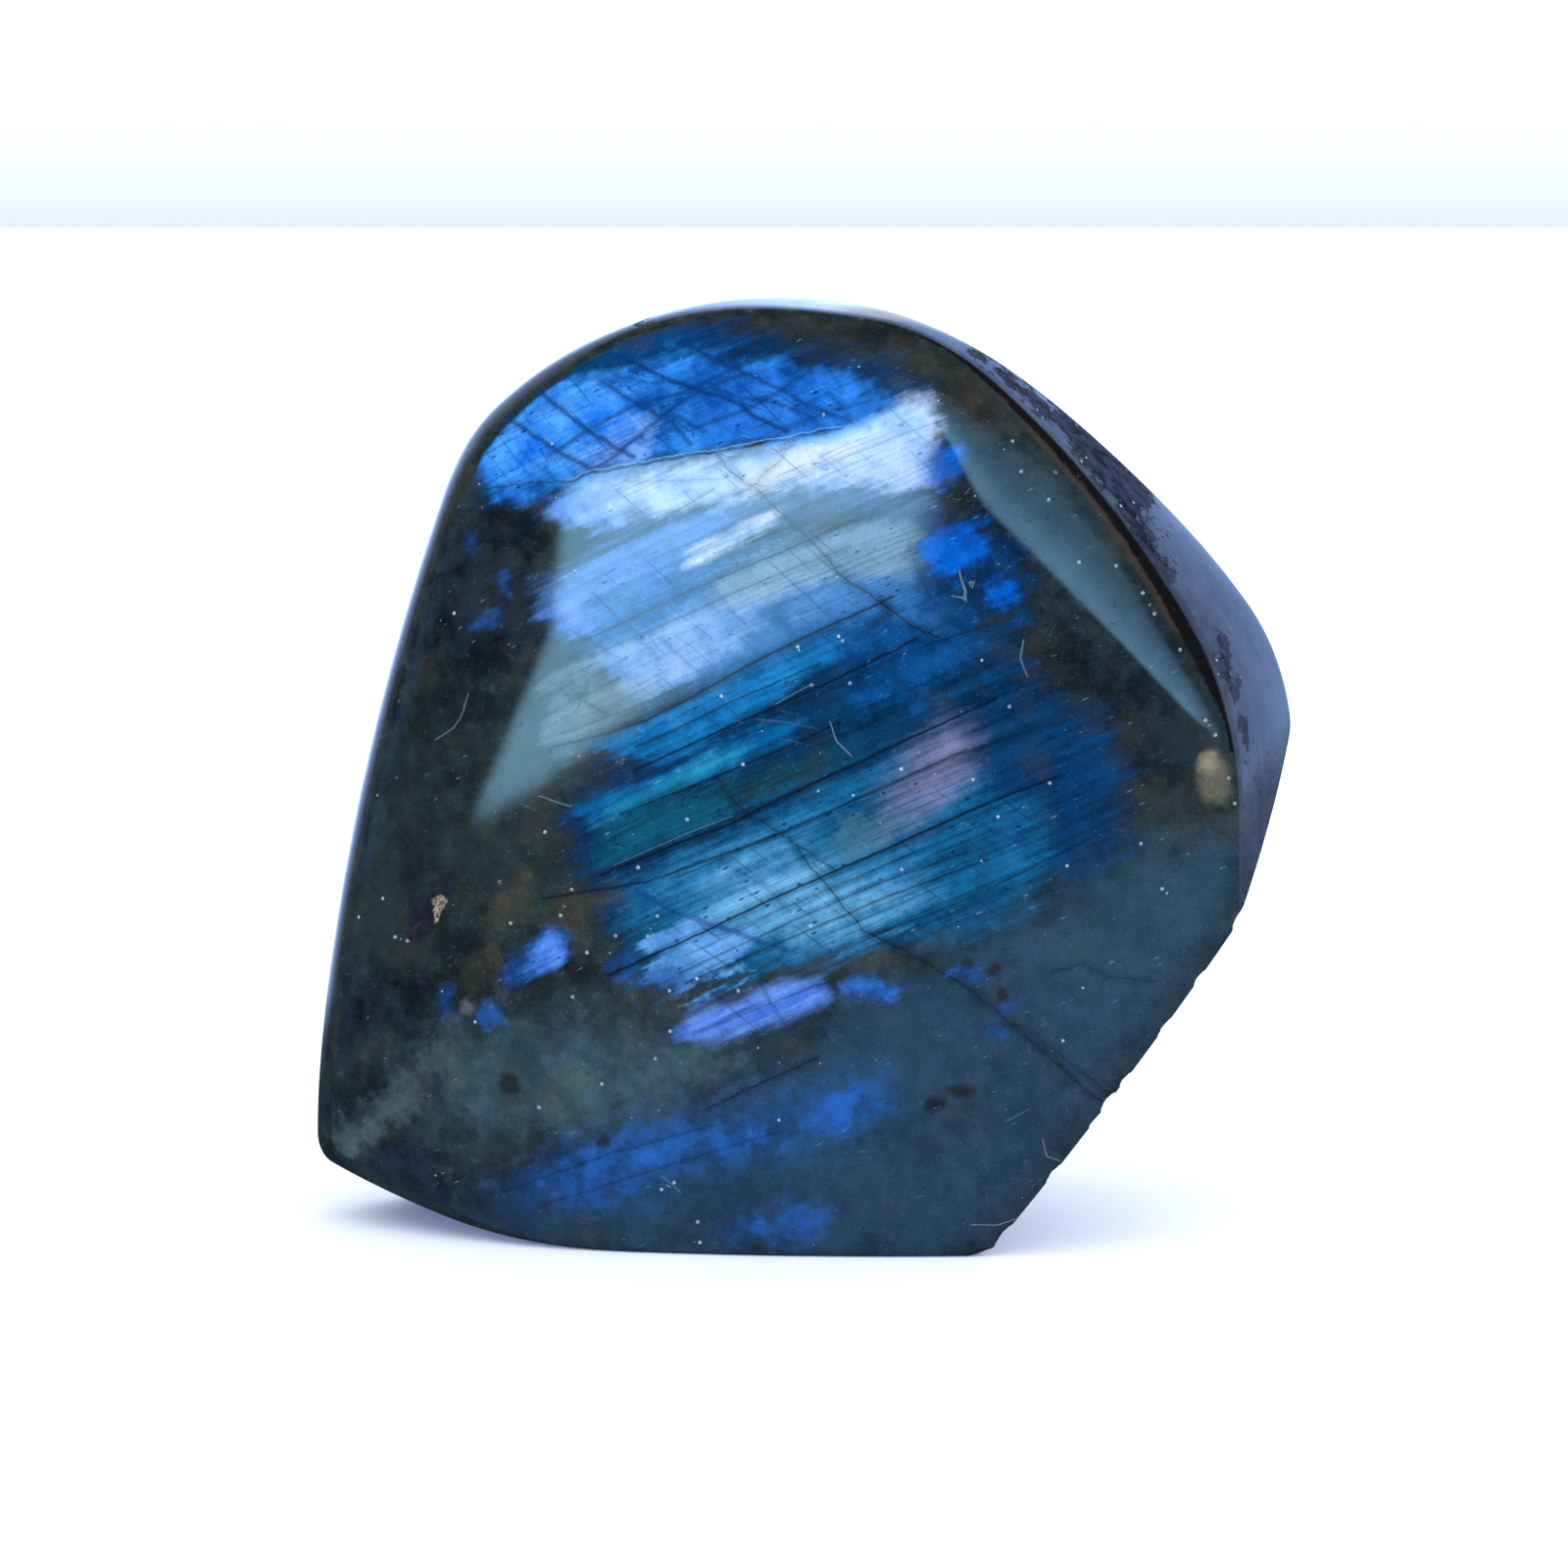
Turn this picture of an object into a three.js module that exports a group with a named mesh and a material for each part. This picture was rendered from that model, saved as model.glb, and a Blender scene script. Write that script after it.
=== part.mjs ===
import * as THREE from 'three';

// A hand-sized freeform of labradorite, ground to gently curved faces and polished.
// It is one solid stone. Lengths are millimetres and angles are degrees.
// X runs across the stone, the front face looks along -Y, and Z is up from the flat base.

// Each face touches a flat plane at one point and curves away from it in two directions.
// turn: which way it looks, 0 for the front, 90 for the right side, 180 for the back.
// lean: how far it looks upwards. across and along: its radii of curvature, level and
// up the stone, 0 for straight. soft: how wide its edge with the faces before it is rounded.
const FRONT_FACES = [
  { name: 'main', touch: [5, -14.6, 27], turn: -1, lean: 5, across: 90, along: 105, soft: 0 },
  { name: 'top', touch: [-2.7, -9.4, 50.5], turn: -13, lean: 36, across: 120, along: 90, soft: 3 },
  { name: 'left', touch: [-16.3, -10.2, 37.7], turn: -32, lean: 13, across: 90, along: 92, soft: 2.5 },
  { name: 'upper right', touch: [17.8, -11.3, 42.9], turn: 27, lean: 27, across: 200, along: 200, soft: 1 },
];
const SIDE_FACES = [
  { name: 'left', touch: [-27.1, -1, 26.8], turn: -87, lean: 12, across: 50, along: 150, soft: 0 },
  { name: 'upper left', touch: [-15, -1, 54.6], turn: -68, lean: 51, across: 26, along: 39, soft: 1.2 },
  { name: 'top', touch: [2.1, 0, 58.7], turn: 50, lean: 83.4, across: 23, along: 62, soft: 2 },
  { name: 'upper right', touch: [23, 5, 46.4], turn: 106, lean: 46.1, across: 16, along: 93, soft: 2 },
  { name: 'right', touch: [31.6, -3, 29.3], turn: 72, lean: 3.5, across: 72, along: 160, soft: 2.2 },
  { name: 'lower right', touch: [22.8, -13.4, 13.3], turn: 107, lean: -36, across: 0, along: 0, soft: 0.5 },
  { name: 'lower left', touch: [-23.7, -4, 1.6], turn: -63, lean: -63, across: 80, along: 80, soft: 1.2 },
  { name: 'base', touch: [0, 0, 0], turn: 0, lean: -90, across: 0, along: 0, soft: 0.8 },
];
const BACK_FACES = [
  { name: 'main', touch: [1, 14, 27], turn: 180, lean: 3, across: 100, along: 110, soft: 0 },
  { name: 'top', touch: [-3, 10.8, 49], turn: 196, lean: 34, across: 90, along: 70, soft: 4 },
  { name: 'left', touch: [-20, 10.5, 26], turn: -142, lean: 6, across: 70, along: 110, soft: 3 },
  { name: 'right', touch: [22.5, 11.5, 34], turn: 142, lean: 10, across: 70, along: 110, soft: 3 },
];

// The edge round the front face is rounded on the left of the stone and crisp on the right.
const RIM_SOFT_LEFT = 1.6;
const RIM_SOFT_RIGHT = 0.5;
const RIM_LEFT_X = -20;
const RIM_RIGHT_X = -10;
const BACK_EDGE_SOFT = 2.5;

// The surface is measured along rays from a point in the middle of the stone.
const HEART = new THREE.Vector3(1, 0, 28);
const FARTHEST = 80;
const HALVINGS = 36;
const FLAT_TOLERANCE = 1e-6;

// The mesh has rings round the stone, from the middle of the front to the middle of the back,
// and columns that cross them. A column follows each edge between two side faces.
const COLUMNS = 112;
const FRONT_RINGS = 13;
const SIDE_RINGS = 10;
const BACK_RINGS = 9;
const EDGE_GATHER = 1.35;
const TURN_WEIGHT = 9;
const OUTLINE_SAMPLES = 720;
const PROFILE_SAMPLES = 48;
const EDGE_SAMPLES = 16;
const EDGE_REACH = 0.35;
const HALF_COLUMNS_BELOW = 0.62;
const QUARTER_COLUMNS_BELOW = 0.3;

// Polished dark stone with its blue flash, as one even colour.
const STONE_COLOUR = 0x3a6385;
const STONE_ROUGHNESS = 0.12;

// A face with its direction and the two level and upright directions of its curves.
function preparedFace(face) {
  const turn = THREE.MathUtils.degToRad(face.turn);
  const lean = THREE.MathUtils.degToRad(face.lean);
  const outward = new THREE.Vector3(
    Math.sin(turn) * Math.cos(lean),
    -Math.cos(turn) * Math.cos(lean),
    Math.sin(lean),
  );
  const level = new THREE.Vector3(Math.cos(turn), Math.sin(turn), 0);
  const upright = outward.clone().cross(level);
  return { ...face, touch: new THREE.Vector3(...face.touch), outward, level, upright };
}

const frontFaces = FRONT_FACES.map(preparedFace);
const sideFaces = SIDE_FACES.map(preparedFace);
const backFaces = BACK_FACES.map(preparedFace);

const offset = new THREE.Vector3();

// How far a point lies outside one face, negative inside.
function faceDistance(point, face) {
  offset.subVectors(point, face.touch);
  let distance = offset.dot(face.outward);
  if (face.across > 0) {
    distance += offset.dot(face.level) ** 2 / (2 * face.across);
  }
  if (face.along > 0) {
    distance += offset.dot(face.upright) ** 2 / (2 * face.along);
  }
  return distance;
}

// The larger of two distances, with the edge where they meet rounded.
function roundedMax(a, b, soft) {
  const larger = Math.max(a, b);
  if (soft <= 0) {
    return larger;
  }
  const near = Math.max(soft - Math.abs(a - b), 0) / soft;
  return larger + (near * near * soft) / 4;
}

function groupDistance(point, faces) {
  return faces.reduce((distance, face, index) => {
    const next = faceDistance(point, face);
    return index === 0 ? next : roundedMax(distance, next, face.soft);
  }, 0);
}

function rimSoftness(point) {
  const share = (point.x - RIM_LEFT_X) / (RIM_RIGHT_X - RIM_LEFT_X);
  return THREE.MathUtils.lerp(RIM_SOFT_LEFT, RIM_SOFT_RIGHT, THREE.MathUtils.clamp(share, 0, 1));
}

// How far a point lies outside the whole stone.
function stoneDistance(point) {
  const front = groupDistance(point, frontFaces);
  const side = groupDistance(point, sideFaces);
  const back = groupDistance(point, backFaces);
  return roundedMax(roundedMax(front, side, rimSoftness(point)), back, BACK_EDGE_SOFT);
}

// The point of the surface in the direction of two angles: bearing, round the stone from
// its right to its top, and tilt, from the front (0) to the back (pi).
function surfacePoint(bearing, tilt) {
  const direction = new THREE.Vector3(
    Math.sin(tilt) * Math.cos(bearing),
    -Math.cos(tilt),
    Math.sin(tilt) * Math.sin(bearing),
  );
  const point = new THREE.Vector3();
  let inside = 0;
  let outside = FARTHEST;
  for (let i = 0; i < HALVINGS; i += 1) {
    const middle = (inside + outside) / 2;
    point.copy(HEART).addScaledVector(direction, middle);
    if (stoneDistance(point) < 0) {
      inside = middle;
    } else {
      outside = middle;
    }
  }
  point.copy(HEART).addScaledVector(direction, inside);
  if (Math.abs(point.z) < FLAT_TOLERANCE) {
    point.z = 0;
  }
  return point;
}

// The value between two others at which a test turns from true to false.
function turningPoint(from, to, test) {
  let near = from;
  let far = to;
  for (let i = 0; i < HALVINGS; i += 1) {
    const middle = (near + far) / 2;
    if (test(middle)) {
      near = middle;
    } else {
      far = middle;
    }
  }
  return near;
}

// The tilts at which a path over the surface crosses the front rim and the back edge.
// A path gives the bearing for a tilt.
function crossings(path) {
  const beyondSides = (faces) => (tilt) => {
    const point = surfacePoint(path(tilt), tilt);
    return groupDistance(point, faces) > groupDistance(point, sideFaces);
  };
  return {
    front: turningPoint(0, Math.PI * 0.55, beyondSides(frontFaces)),
    back: turningPoint(Math.PI, Math.PI * 0.5, beyondSides(backFaces)),
  };
}

// The path along the edge between two side faces, straight on over the front and the back.
function edgePath(bearing, before, after) {
  const bearingAt = (tilt) =>
    turningPoint(bearing - EDGE_REACH, bearing + EDGE_REACH, (angle) => {
      const point = surfacePoint(angle, tilt);
      return faceDistance(point, before) > faceDistance(point, after);
    });
  const middle = crossings(() => bearing);
  const { front } = crossings(() => bearingAt(middle.front));
  const { back } = crossings(() => bearingAt(middle.back));
  const bearings = Array.from({ length: EDGE_SAMPLES + 1 }, (_, i) =>
    bearingAt(front + ((back - front) * i) / EDGE_SAMPLES),
  );
  return (tilt) => {
    const place = THREE.MathUtils.clamp((tilt - front) / (back - front), 0, 1) * EDGE_SAMPLES;
    const sample = Math.min(Math.floor(place), EDGE_SAMPLES - 1);
    return THREE.MathUtils.lerp(bearings[sample], bearings[sample + 1], place - sample);
  };
}

// The paths of all columns. The outline is cut at its edges, and each length between two
// edges is shared out among its columns, closer together where it turns.
function columnPaths() {
  const bearings = Array.from(
    { length: OUTLINE_SAMPLES },
    (_, i) => (2 * Math.PI * i) / OUTLINE_SAMPLES,
  );
  const outline = bearings.map((bearing) => surfacePoint(bearing, Math.PI / 2));
  const leaders = outline.map((point) => {
    const distances = sideFaces.map((face) => faceDistance(point, face));
    return sideFaces[distances.indexOf(Math.max(...distances))];
  });
  const around = (i) => (i + OUTLINE_SAMPLES) % OUTLINE_SAMPLES;
  const weights = outline.map((point, i) => {
    const arriving = point.clone().sub(outline[around(i - 1)]);
    const leaving = outline[around(i + 1)].clone().sub(point);
    return leaving.length() + TURN_WEIGHT * arriving.angleTo(leaving);
  });
  const total = weights.reduce((sum, weight) => sum + weight, 0);
  const cuts = bearings.map((_, i) => i).filter((i) => leaders[i] !== leaders[around(i - 1)]);
  const edges = cuts.map((i) => edgePath(bearings[i], leaders[around(i - 1)], leaders[i]));
  let passed = 0;
  let placed = 0;
  return cuts.flatMap((cut, k) => {
    const next = cuts[(k + 1) % cuts.length];
    const count = around(next - cut);
    const sums = [0];
    for (let i = 0; i < count; i += 1) {
      sums.push(sums[i] + weights[around(cut + i)]);
    }
    passed += sums[count];
    const columns = Math.round((COLUMNS * passed) / total) - placed;
    placed += columns;
    const nextEdge = edges[(k + 1) % edges.length];
    const lap = next < cut ? 2 * Math.PI : 0;
    return Array.from({ length: columns }, (_, i) => {
      const wanted = (sums[count] * i) / columns;
      const sample = sums.findLastIndex((sum) => sum <= wanted);
      const part = (wanted - sums[sample]) / (sums[sample + 1] - sums[sample]);
      const share = (sample + part) / count;
      return (tilt) => THREE.MathUtils.lerp(edges[k](tilt), nextEdge(tilt) + lap, share);
    });
  });
}

// Tilts that cut a path between two tilts at given shares of its length.
function tiltsAlong(path, from, to, shares) {
  const lengths = [0];
  let before = surfacePoint(path(from), from);
  for (let i = 1; i <= PROFILE_SAMPLES; i += 1) {
    const tilt = from + ((to - from) * i) / PROFILE_SAMPLES;
    const here = surfacePoint(path(tilt), tilt);
    lengths.push(lengths[i - 1] + here.distanceTo(before));
    before = here;
  }
  return shares.map((share) => {
    const wanted = share * lengths[PROFILE_SAMPLES];
    const found = lengths.findLastIndex((length) => length <= wanted);
    const sample = Math.min(found, PROFILE_SAMPLES - 1);
    const part = (wanted - lengths[sample]) / (lengths[sample + 1] - lengths[sample]);
    return from + ((to - from) * (sample + part)) / PROFILE_SAMPLES;
  });
}

// Shares of a length from its start to its end, closer together at the end.
function gatheredShares(count) {
  return Array.from({ length: count }, (_, i) => 1 - (1 - (i + 1) / count) ** EDGE_GATHER);
}

// Rings in order from front to back, each a list of points. Rings near the two middles
// have a half or a quarter of the columns.
function stoneRings() {
  const frontShares = gatheredShares(FRONT_RINGS);
  const sideShares = Array.from(
    { length: SIDE_RINGS },
    (_, i) => 0.5 - 0.5 * Math.cos((Math.PI * (i + 1)) / SIDE_RINGS),
  );
  const backShares = gatheredShares(BACK_RINGS).map((share) => 1 - share);
  backShares.reverse();
  backShares.shift();
  const step = (share) => {
    if (share < QUARTER_COLUMNS_BELOW) {
      return 4;
    }
    return share < HALF_COLUMNS_BELOW ? 2 : 1;
  };
  const steps = [
    ...frontShares.map(step),
    ...sideShares.map(() => 1),
    ...backShares.map((share) => step(1 - share)),
  ];
  const rings = steps.map(() => []);
  columnPaths().forEach((path, column) => {
    const { front, back } = crossings(path);
    const tilts = [
      ...tiltsAlong(path, 0, front, frontShares),
      ...tiltsAlong(path, front, back, sideShares),
      ...tiltsAlong(path, back, Math.PI, backShares),
    ];
    tilts.forEach((tilt, ring) => {
      if (column % steps[ring] === 0) {
        rings[ring].push(surfacePoint(path(tilt), tilt));
      }
    });
  });
  return rings;
}

// Triangles between two rings, where one may have half the points of the other.
function joinRings(first, second, addTriangle) {
  const segments = Math.min(first.length, second.length);
  const firstStep = first.length / segments;
  const secondStep = second.length / segments;
  for (let i = 0; i < segments; i += 1) {
    const a = first.start + i * firstStep;
    const c = second.start + i * secondStep;
    const b = first.start + (((i + 1) * firstStep) % first.length);
    const d = second.start + (((i + 1) * secondStep) % second.length);
    if (firstStep === 2) {
      addTriangle(a, a + 1, c);
      addTriangle(a + 1, d, c);
      addTriangle(a + 1, b, d);
    } else if (secondStep === 2) {
      addTriangle(a, c + 1, c);
      addTriangle(a, b, c + 1);
      addTriangle(b, d, c + 1);
    } else {
      addTriangle(a, b, c);
      addTriangle(b, d, c);
    }
  }
}

function stoneGeometry() {
  const rings = stoneRings();
  const points = [surfacePoint(0, 0), ...rings.flat(), surfacePoint(0, Math.PI)];
  const triangles = [];
  const addTriangle = (a, b, c) => triangles.push(a, b, c);
  let start = 1;
  const spans = rings.map((ring) => {
    const span = { start, length: ring.length };
    start += ring.length;
    return span;
  });
  const frontSpan = spans[0];
  const backSpan = spans[spans.length - 1];
  for (let i = 0; i < frontSpan.length; i += 1) {
    addTriangle(0, frontSpan.start + i, frontSpan.start + ((i + 1) % frontSpan.length));
  }
  for (let i = 0; i + 1 < spans.length; i += 1) {
    joinRings(spans[i + 1], spans[i], addTriangle);
  }
  for (let i = 0; i < backSpan.length; i += 1) {
    addTriangle(points.length - 1, backSpan.start + ((i + 1) % backSpan.length), backSpan.start + i);
  }
  const geometry = new THREE.BufferGeometry().setFromPoints(points);
  geometry.setIndex(triangles);
  return geometry;
}

// The origin is under the middle of the stone's box, on the level of the base.
function centred(geometry) {
  geometry.computeBoundingBox();
  const middle = geometry.boundingBox.getCenter(new THREE.Vector3());
  geometry.translate(-middle.x, -middle.y, -geometry.boundingBox.min.z);
  geometry.computeVertexNormals();
  return geometry;
}

const stoneMaterial = new THREE.MeshStandardMaterial({
  color: STONE_COLOUR,
  roughness: STONE_ROUGHNESS,
  metalness: 0,
});

const stone = new THREE.Mesh(centred(stoneGeometry()), stoneMaterial);
stone.name = 'labradorite_stone';

const part = new THREE.Group();
part.name = 'polished_labradorite';
part.add(stone);

export default part;
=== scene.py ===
"""A polished freeform of labradorite, standing on its ground base on a pale floor.

One piece, the stone, stands in for the plain solid. Its surface is worked out from the same ground faces,
with a finer mesh, chipped edges and a pit. The markings, and the reflections, highlight, glints and shade
painted in among them, are laid out by outlines and lines as they are seen from the front, with noise for
what lies inside them.
"""
import math

import bpy
import numpy as np
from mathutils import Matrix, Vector


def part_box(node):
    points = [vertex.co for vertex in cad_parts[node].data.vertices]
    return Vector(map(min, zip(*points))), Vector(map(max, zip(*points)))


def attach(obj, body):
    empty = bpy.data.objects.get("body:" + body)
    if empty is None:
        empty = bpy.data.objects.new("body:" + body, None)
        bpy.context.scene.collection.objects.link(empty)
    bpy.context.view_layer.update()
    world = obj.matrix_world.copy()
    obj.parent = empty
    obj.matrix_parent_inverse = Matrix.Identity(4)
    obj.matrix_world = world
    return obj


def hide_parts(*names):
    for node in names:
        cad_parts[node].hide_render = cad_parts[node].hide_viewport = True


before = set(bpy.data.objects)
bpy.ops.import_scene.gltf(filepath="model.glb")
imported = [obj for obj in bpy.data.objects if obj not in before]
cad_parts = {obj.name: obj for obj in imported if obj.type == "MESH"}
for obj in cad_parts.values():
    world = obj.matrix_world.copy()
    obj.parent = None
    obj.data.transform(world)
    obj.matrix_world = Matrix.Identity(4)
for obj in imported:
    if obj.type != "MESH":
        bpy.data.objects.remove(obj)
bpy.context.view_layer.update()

MM = 0.001
NODE = "labradorite_stone"

# view: the camera of the photograph, with lengths in mm and the picture in pixels
PICTURE = 1600
PIXELS_PER_MM = 16.0
DISTANCE = 350.0
LOOK_DOWN = math.radians(7.0)
AIM = np.array([0.0, 0.0, 27.9])
SENSOR = 36.0

ahead = np.array([0.0, math.cos(LOOK_DOWN), -math.sin(LOOK_DOWN)])
upward = np.array([0.0, math.sin(LOOK_DOWN), math.cos(LOOK_DOWN)])
eye = AIM - ahead * DISTANCE

# shape
# name, touch point, turn, lean, radius across, radius along, softness of its edge
FRONT_FACES = [
    ("main", (5, -14.6, 27), -1, 5, 90, 105, 0),
    ("top", (-2.7, -9.4, 50.5), -13, 36, 120, 90, 3),
    ("left", (-16.3, -10.2, 37.7), -32, 13, 90, 92, 2.5),
    ("upper right", (17.8, -11.3, 42.9), 27, 27, 200, 200, 1),
]
SIDE_FACES = [
    ("left", (-27.1, -1, 26.8), -87, 12, 50, 150, 0),
    ("upper left", (-15, -1, 54.6), -68, 51, 26, 39, 1.2),
    ("top", (2.1, 0, 58.7), 50, 83.4, 23, 62, 2),
    ("upper right", (23, 5, 46.4), 106, 46.1, 16, 93, 2),
    ("right", (31.6, -3, 29.3), 72, 3.5, 72, 160, 2.2),
    ("lower right", (22.8, -13.4, 13.3), 107, -36, 0, 0, 0.5),
    ("lower left", (-23.7, -4, 1.6), -63, -63, 80, 80, 1.2),
    ("base", (0, 0, 0), 0, -90, 0, 0, 0.8),
]
BACK_FACES = [
    ("main", (1, 14, 27), 180, 3, 100, 110, 0),
    ("top", (-3, 10.8, 49), 196, 34, 90, 70, 4),
    ("left", (-20, 10.5, 26), -142, 6, 70, 110, 3),
    ("right", (22.5, 11.5, 34), 142, 10, 70, 110, 3),
]
RIM_SOFT_LEFT = 1.6
RIM_SOFT_RIGHT = 0.5
RIM_LEFT_X = -20
RIM_RIGHT_X = -10
BACK_EDGE_SOFT = 2.5
HEART = np.array([1.0, 0.0, 28.0])
FARTHEST = 80.0
SECOND_STEP = 0.75
HALVINGS = 26
APPROACHES = 12
TINY = 1e-10
LAST_FRONT_TILT = 0.55 * math.pi
FIRST_BACK_TILT = 0.5 * math.pi


def prepared(rows):
    faces = []
    for _, touch, turn, lean, across, along, soft in rows:
        turn, lean = math.radians(turn), math.radians(lean)
        level = np.array([math.cos(turn), math.sin(turn), 0.0])
        ahead_of_it = np.array([math.sin(turn), -math.cos(turn), 0.0])
        outward = ahead_of_it * math.cos(lean) + np.array([0.0, 0.0, math.sin(lean)])
        faces.append((np.array(touch, float), outward, level, np.cross(outward, level), across, along, soft))
    return faces


front_faces, side_faces, back_faces = prepared(FRONT_FACES), prepared(SIDE_FACES), prepared(BACK_FACES)


def face_distance(points, face):
    touch, outward, level, upright, across, along, _ = face
    offset = points - touch
    distance = offset @ outward
    if across:
        distance = distance + (offset @ level) ** 2 / (2 * across)
    if along:
        distance = distance + (offset @ upright) ** 2 / (2 * along)
    return distance


def rounded_max(a, b, soft):
    near = np.maximum(soft - np.abs(a - b), 0) / soft
    return np.maximum(a, b) + near * near * soft / 4


def group_distance(points, faces):
    distance = face_distance(points, faces[0])
    for face in faces[1:]:
        distance = rounded_max(distance, face_distance(points, face), face[-1])
    return distance


def polished_distance(points):
    share = np.clip((points[..., 0] - RIM_LEFT_X) / (RIM_RIGHT_X - RIM_LEFT_X), 0, 1)
    rim_soft = RIM_SOFT_LEFT + (RIM_SOFT_RIGHT - RIM_SOFT_LEFT) * share
    body = rounded_max(group_distance(points, front_faces), group_distance(points, side_faces), rim_soft)
    return rounded_max(body, group_distance(points, back_faces), BACK_EDGE_SOFT)


def direction(bearing, tilt):
    return np.stack([np.sin(tilt) * np.cos(bearing), -np.cos(tilt), np.sin(tilt) * np.sin(bearing)], -1)


def met_points(start, rays, first, second):
    """Where rays from start meet the polished surface, after steps from two reaches outside it.

    The distance grows ever faster along a ray, so the steps close in on the surface.
    """
    before, reach = np.full(rays.shape[:-1], first), np.full(rays.shape[:-1], second)
    above = polished_distance(start + rays * before[..., None])
    for _ in range(APPROACHES):
        left = polished_distance(start + rays * reach[..., None])
        change = np.where(np.abs(above - left) > TINY, above - left, np.inf)
        before, reach, above = reach, reach - left * (before - reach) / change, left
    return start + rays * reach[..., None]


def surface_points(bearing, tilt):
    """Points of the surface in the directions of bearing (round the stone) and tilt (front to back)."""
    bearing, tilt = np.broadcast_arrays(np.asarray(bearing, float), np.asarray(tilt, float))
    return met_points(HEART, direction(bearing, tilt), FARTHEST, SECOND_STEP * FARTHEST)


def turning_point(near, far, test):
    """Where test turns from true to false between near and far, for whole arrays."""
    near, far = np.broadcast_arrays(np.asarray(near, float), np.asarray(far, float))
    for _ in range(HALVINGS):
        middle = (near + far) / 2
        true = test(middle)
        near = np.where(true, middle, near)
        far = np.where(true, far, middle)
    return near


def crossings(path, count):
    """Tilts at which paths cross the front rim and the back edge. path gives bearings for tilts."""

    def beyond(faces):
        def test(tilt):
            points = surface_points(path(tilt), tilt)
            return group_distance(points, faces) > group_distance(points, side_faces)

        return test

    front = turning_point(np.zeros(count), LAST_FRONT_TILT, beyond(front_faces))
    return front, turning_point(np.full(count, math.pi), FIRST_BACK_TILT, beyond(back_faces))


# mesh layout
COLUMNS = 480
FRONT_RINGS = 150
SIDE_RINGS = 70
BACK_RINGS = 44
EDGE_GATHER = 1.25
TURN_WEIGHT = 9.0
OUTLINE_SAMPLES = 1440
PROFILE_SAMPLES = 64
EDGE_SAMPLES = 16
EDGE_REACH = 0.35
HALF_COLUMNS_BELOW = 0.62
QUARTER_COLUMNS_BELOW = 0.3


def edge_paths(bearings, before, after):
    """Tilts and bearings along the edges where one side face gives way to the next."""
    count = np.arange(len(bearings))

    def bearing_at(tilt):
        def test(angle):
            points = surface_points(angle, tilt)
            distances = np.stack([face_distance(points, face) for face in side_faces])
            return distances[before, ..., count] > distances[after, ..., count]

        return turning_point(bearings - EDGE_REACH + tilt * 0, bearings + EDGE_REACH, lambda a: test(a).T)

    front, back = crossings(lambda tilt: bearings, len(bearings))
    at_front, at_back = bearing_at(front), bearing_at(back)
    front, _ = crossings(lambda tilt: at_front, len(bearings))
    _, back = crossings(lambda tilt: at_back, len(bearings))
    tilts = front + (back - front) * np.linspace(0, 1, EDGE_SAMPLES + 1)[:, None]
    return tilts, bearing_at(tilts)


def column_table():
    """The edges between side faces, then each column's two edges and its share of the way between them."""
    bearings = np.arange(OUTLINE_SAMPLES) * 2 * math.pi / OUTLINE_SAMPLES
    outline = surface_points(bearings, math.pi / 2)
    leaders = np.stack([face_distance(outline, face) for face in side_faces]).argmax(0)
    step = np.roll(outline, -1, 0) - outline
    length = np.linalg.norm(step, axis=1)
    heading = step / length[:, None]
    turn = np.arccos(np.clip((heading * np.roll(heading, 1, 0)).sum(1), -1, 1))
    weights = length + TURN_WEIGHT * turn
    cuts = np.where(leaders != np.roll(leaders, 1))[0]
    edges = edge_paths(bearings[cuts], leaders[cuts - 1], leaders[cuts])
    table = []
    passed = placed = 0
    for k, cut in enumerate(cuts):
        following = cuts[(k + 1) % len(cuts)]
        count = (following - cut) % OUTLINE_SAMPLES
        sums = np.concatenate([[0], np.cumsum(weights[(cut + np.arange(count)) % OUTLINE_SAMPLES])])
        passed += sums[-1]
        columns = round(COLUMNS * passed / weights.sum()) - placed
        placed += columns
        lap = 2 * math.pi if following < cut else 0
        shares = np.interp(sums[-1] * np.arange(columns) / columns, sums, np.arange(count + 1) / count)
        table += [(k, (k + 1) % len(cuts), lap, share) for share in shares]
    return edges, np.array(table).T


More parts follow.
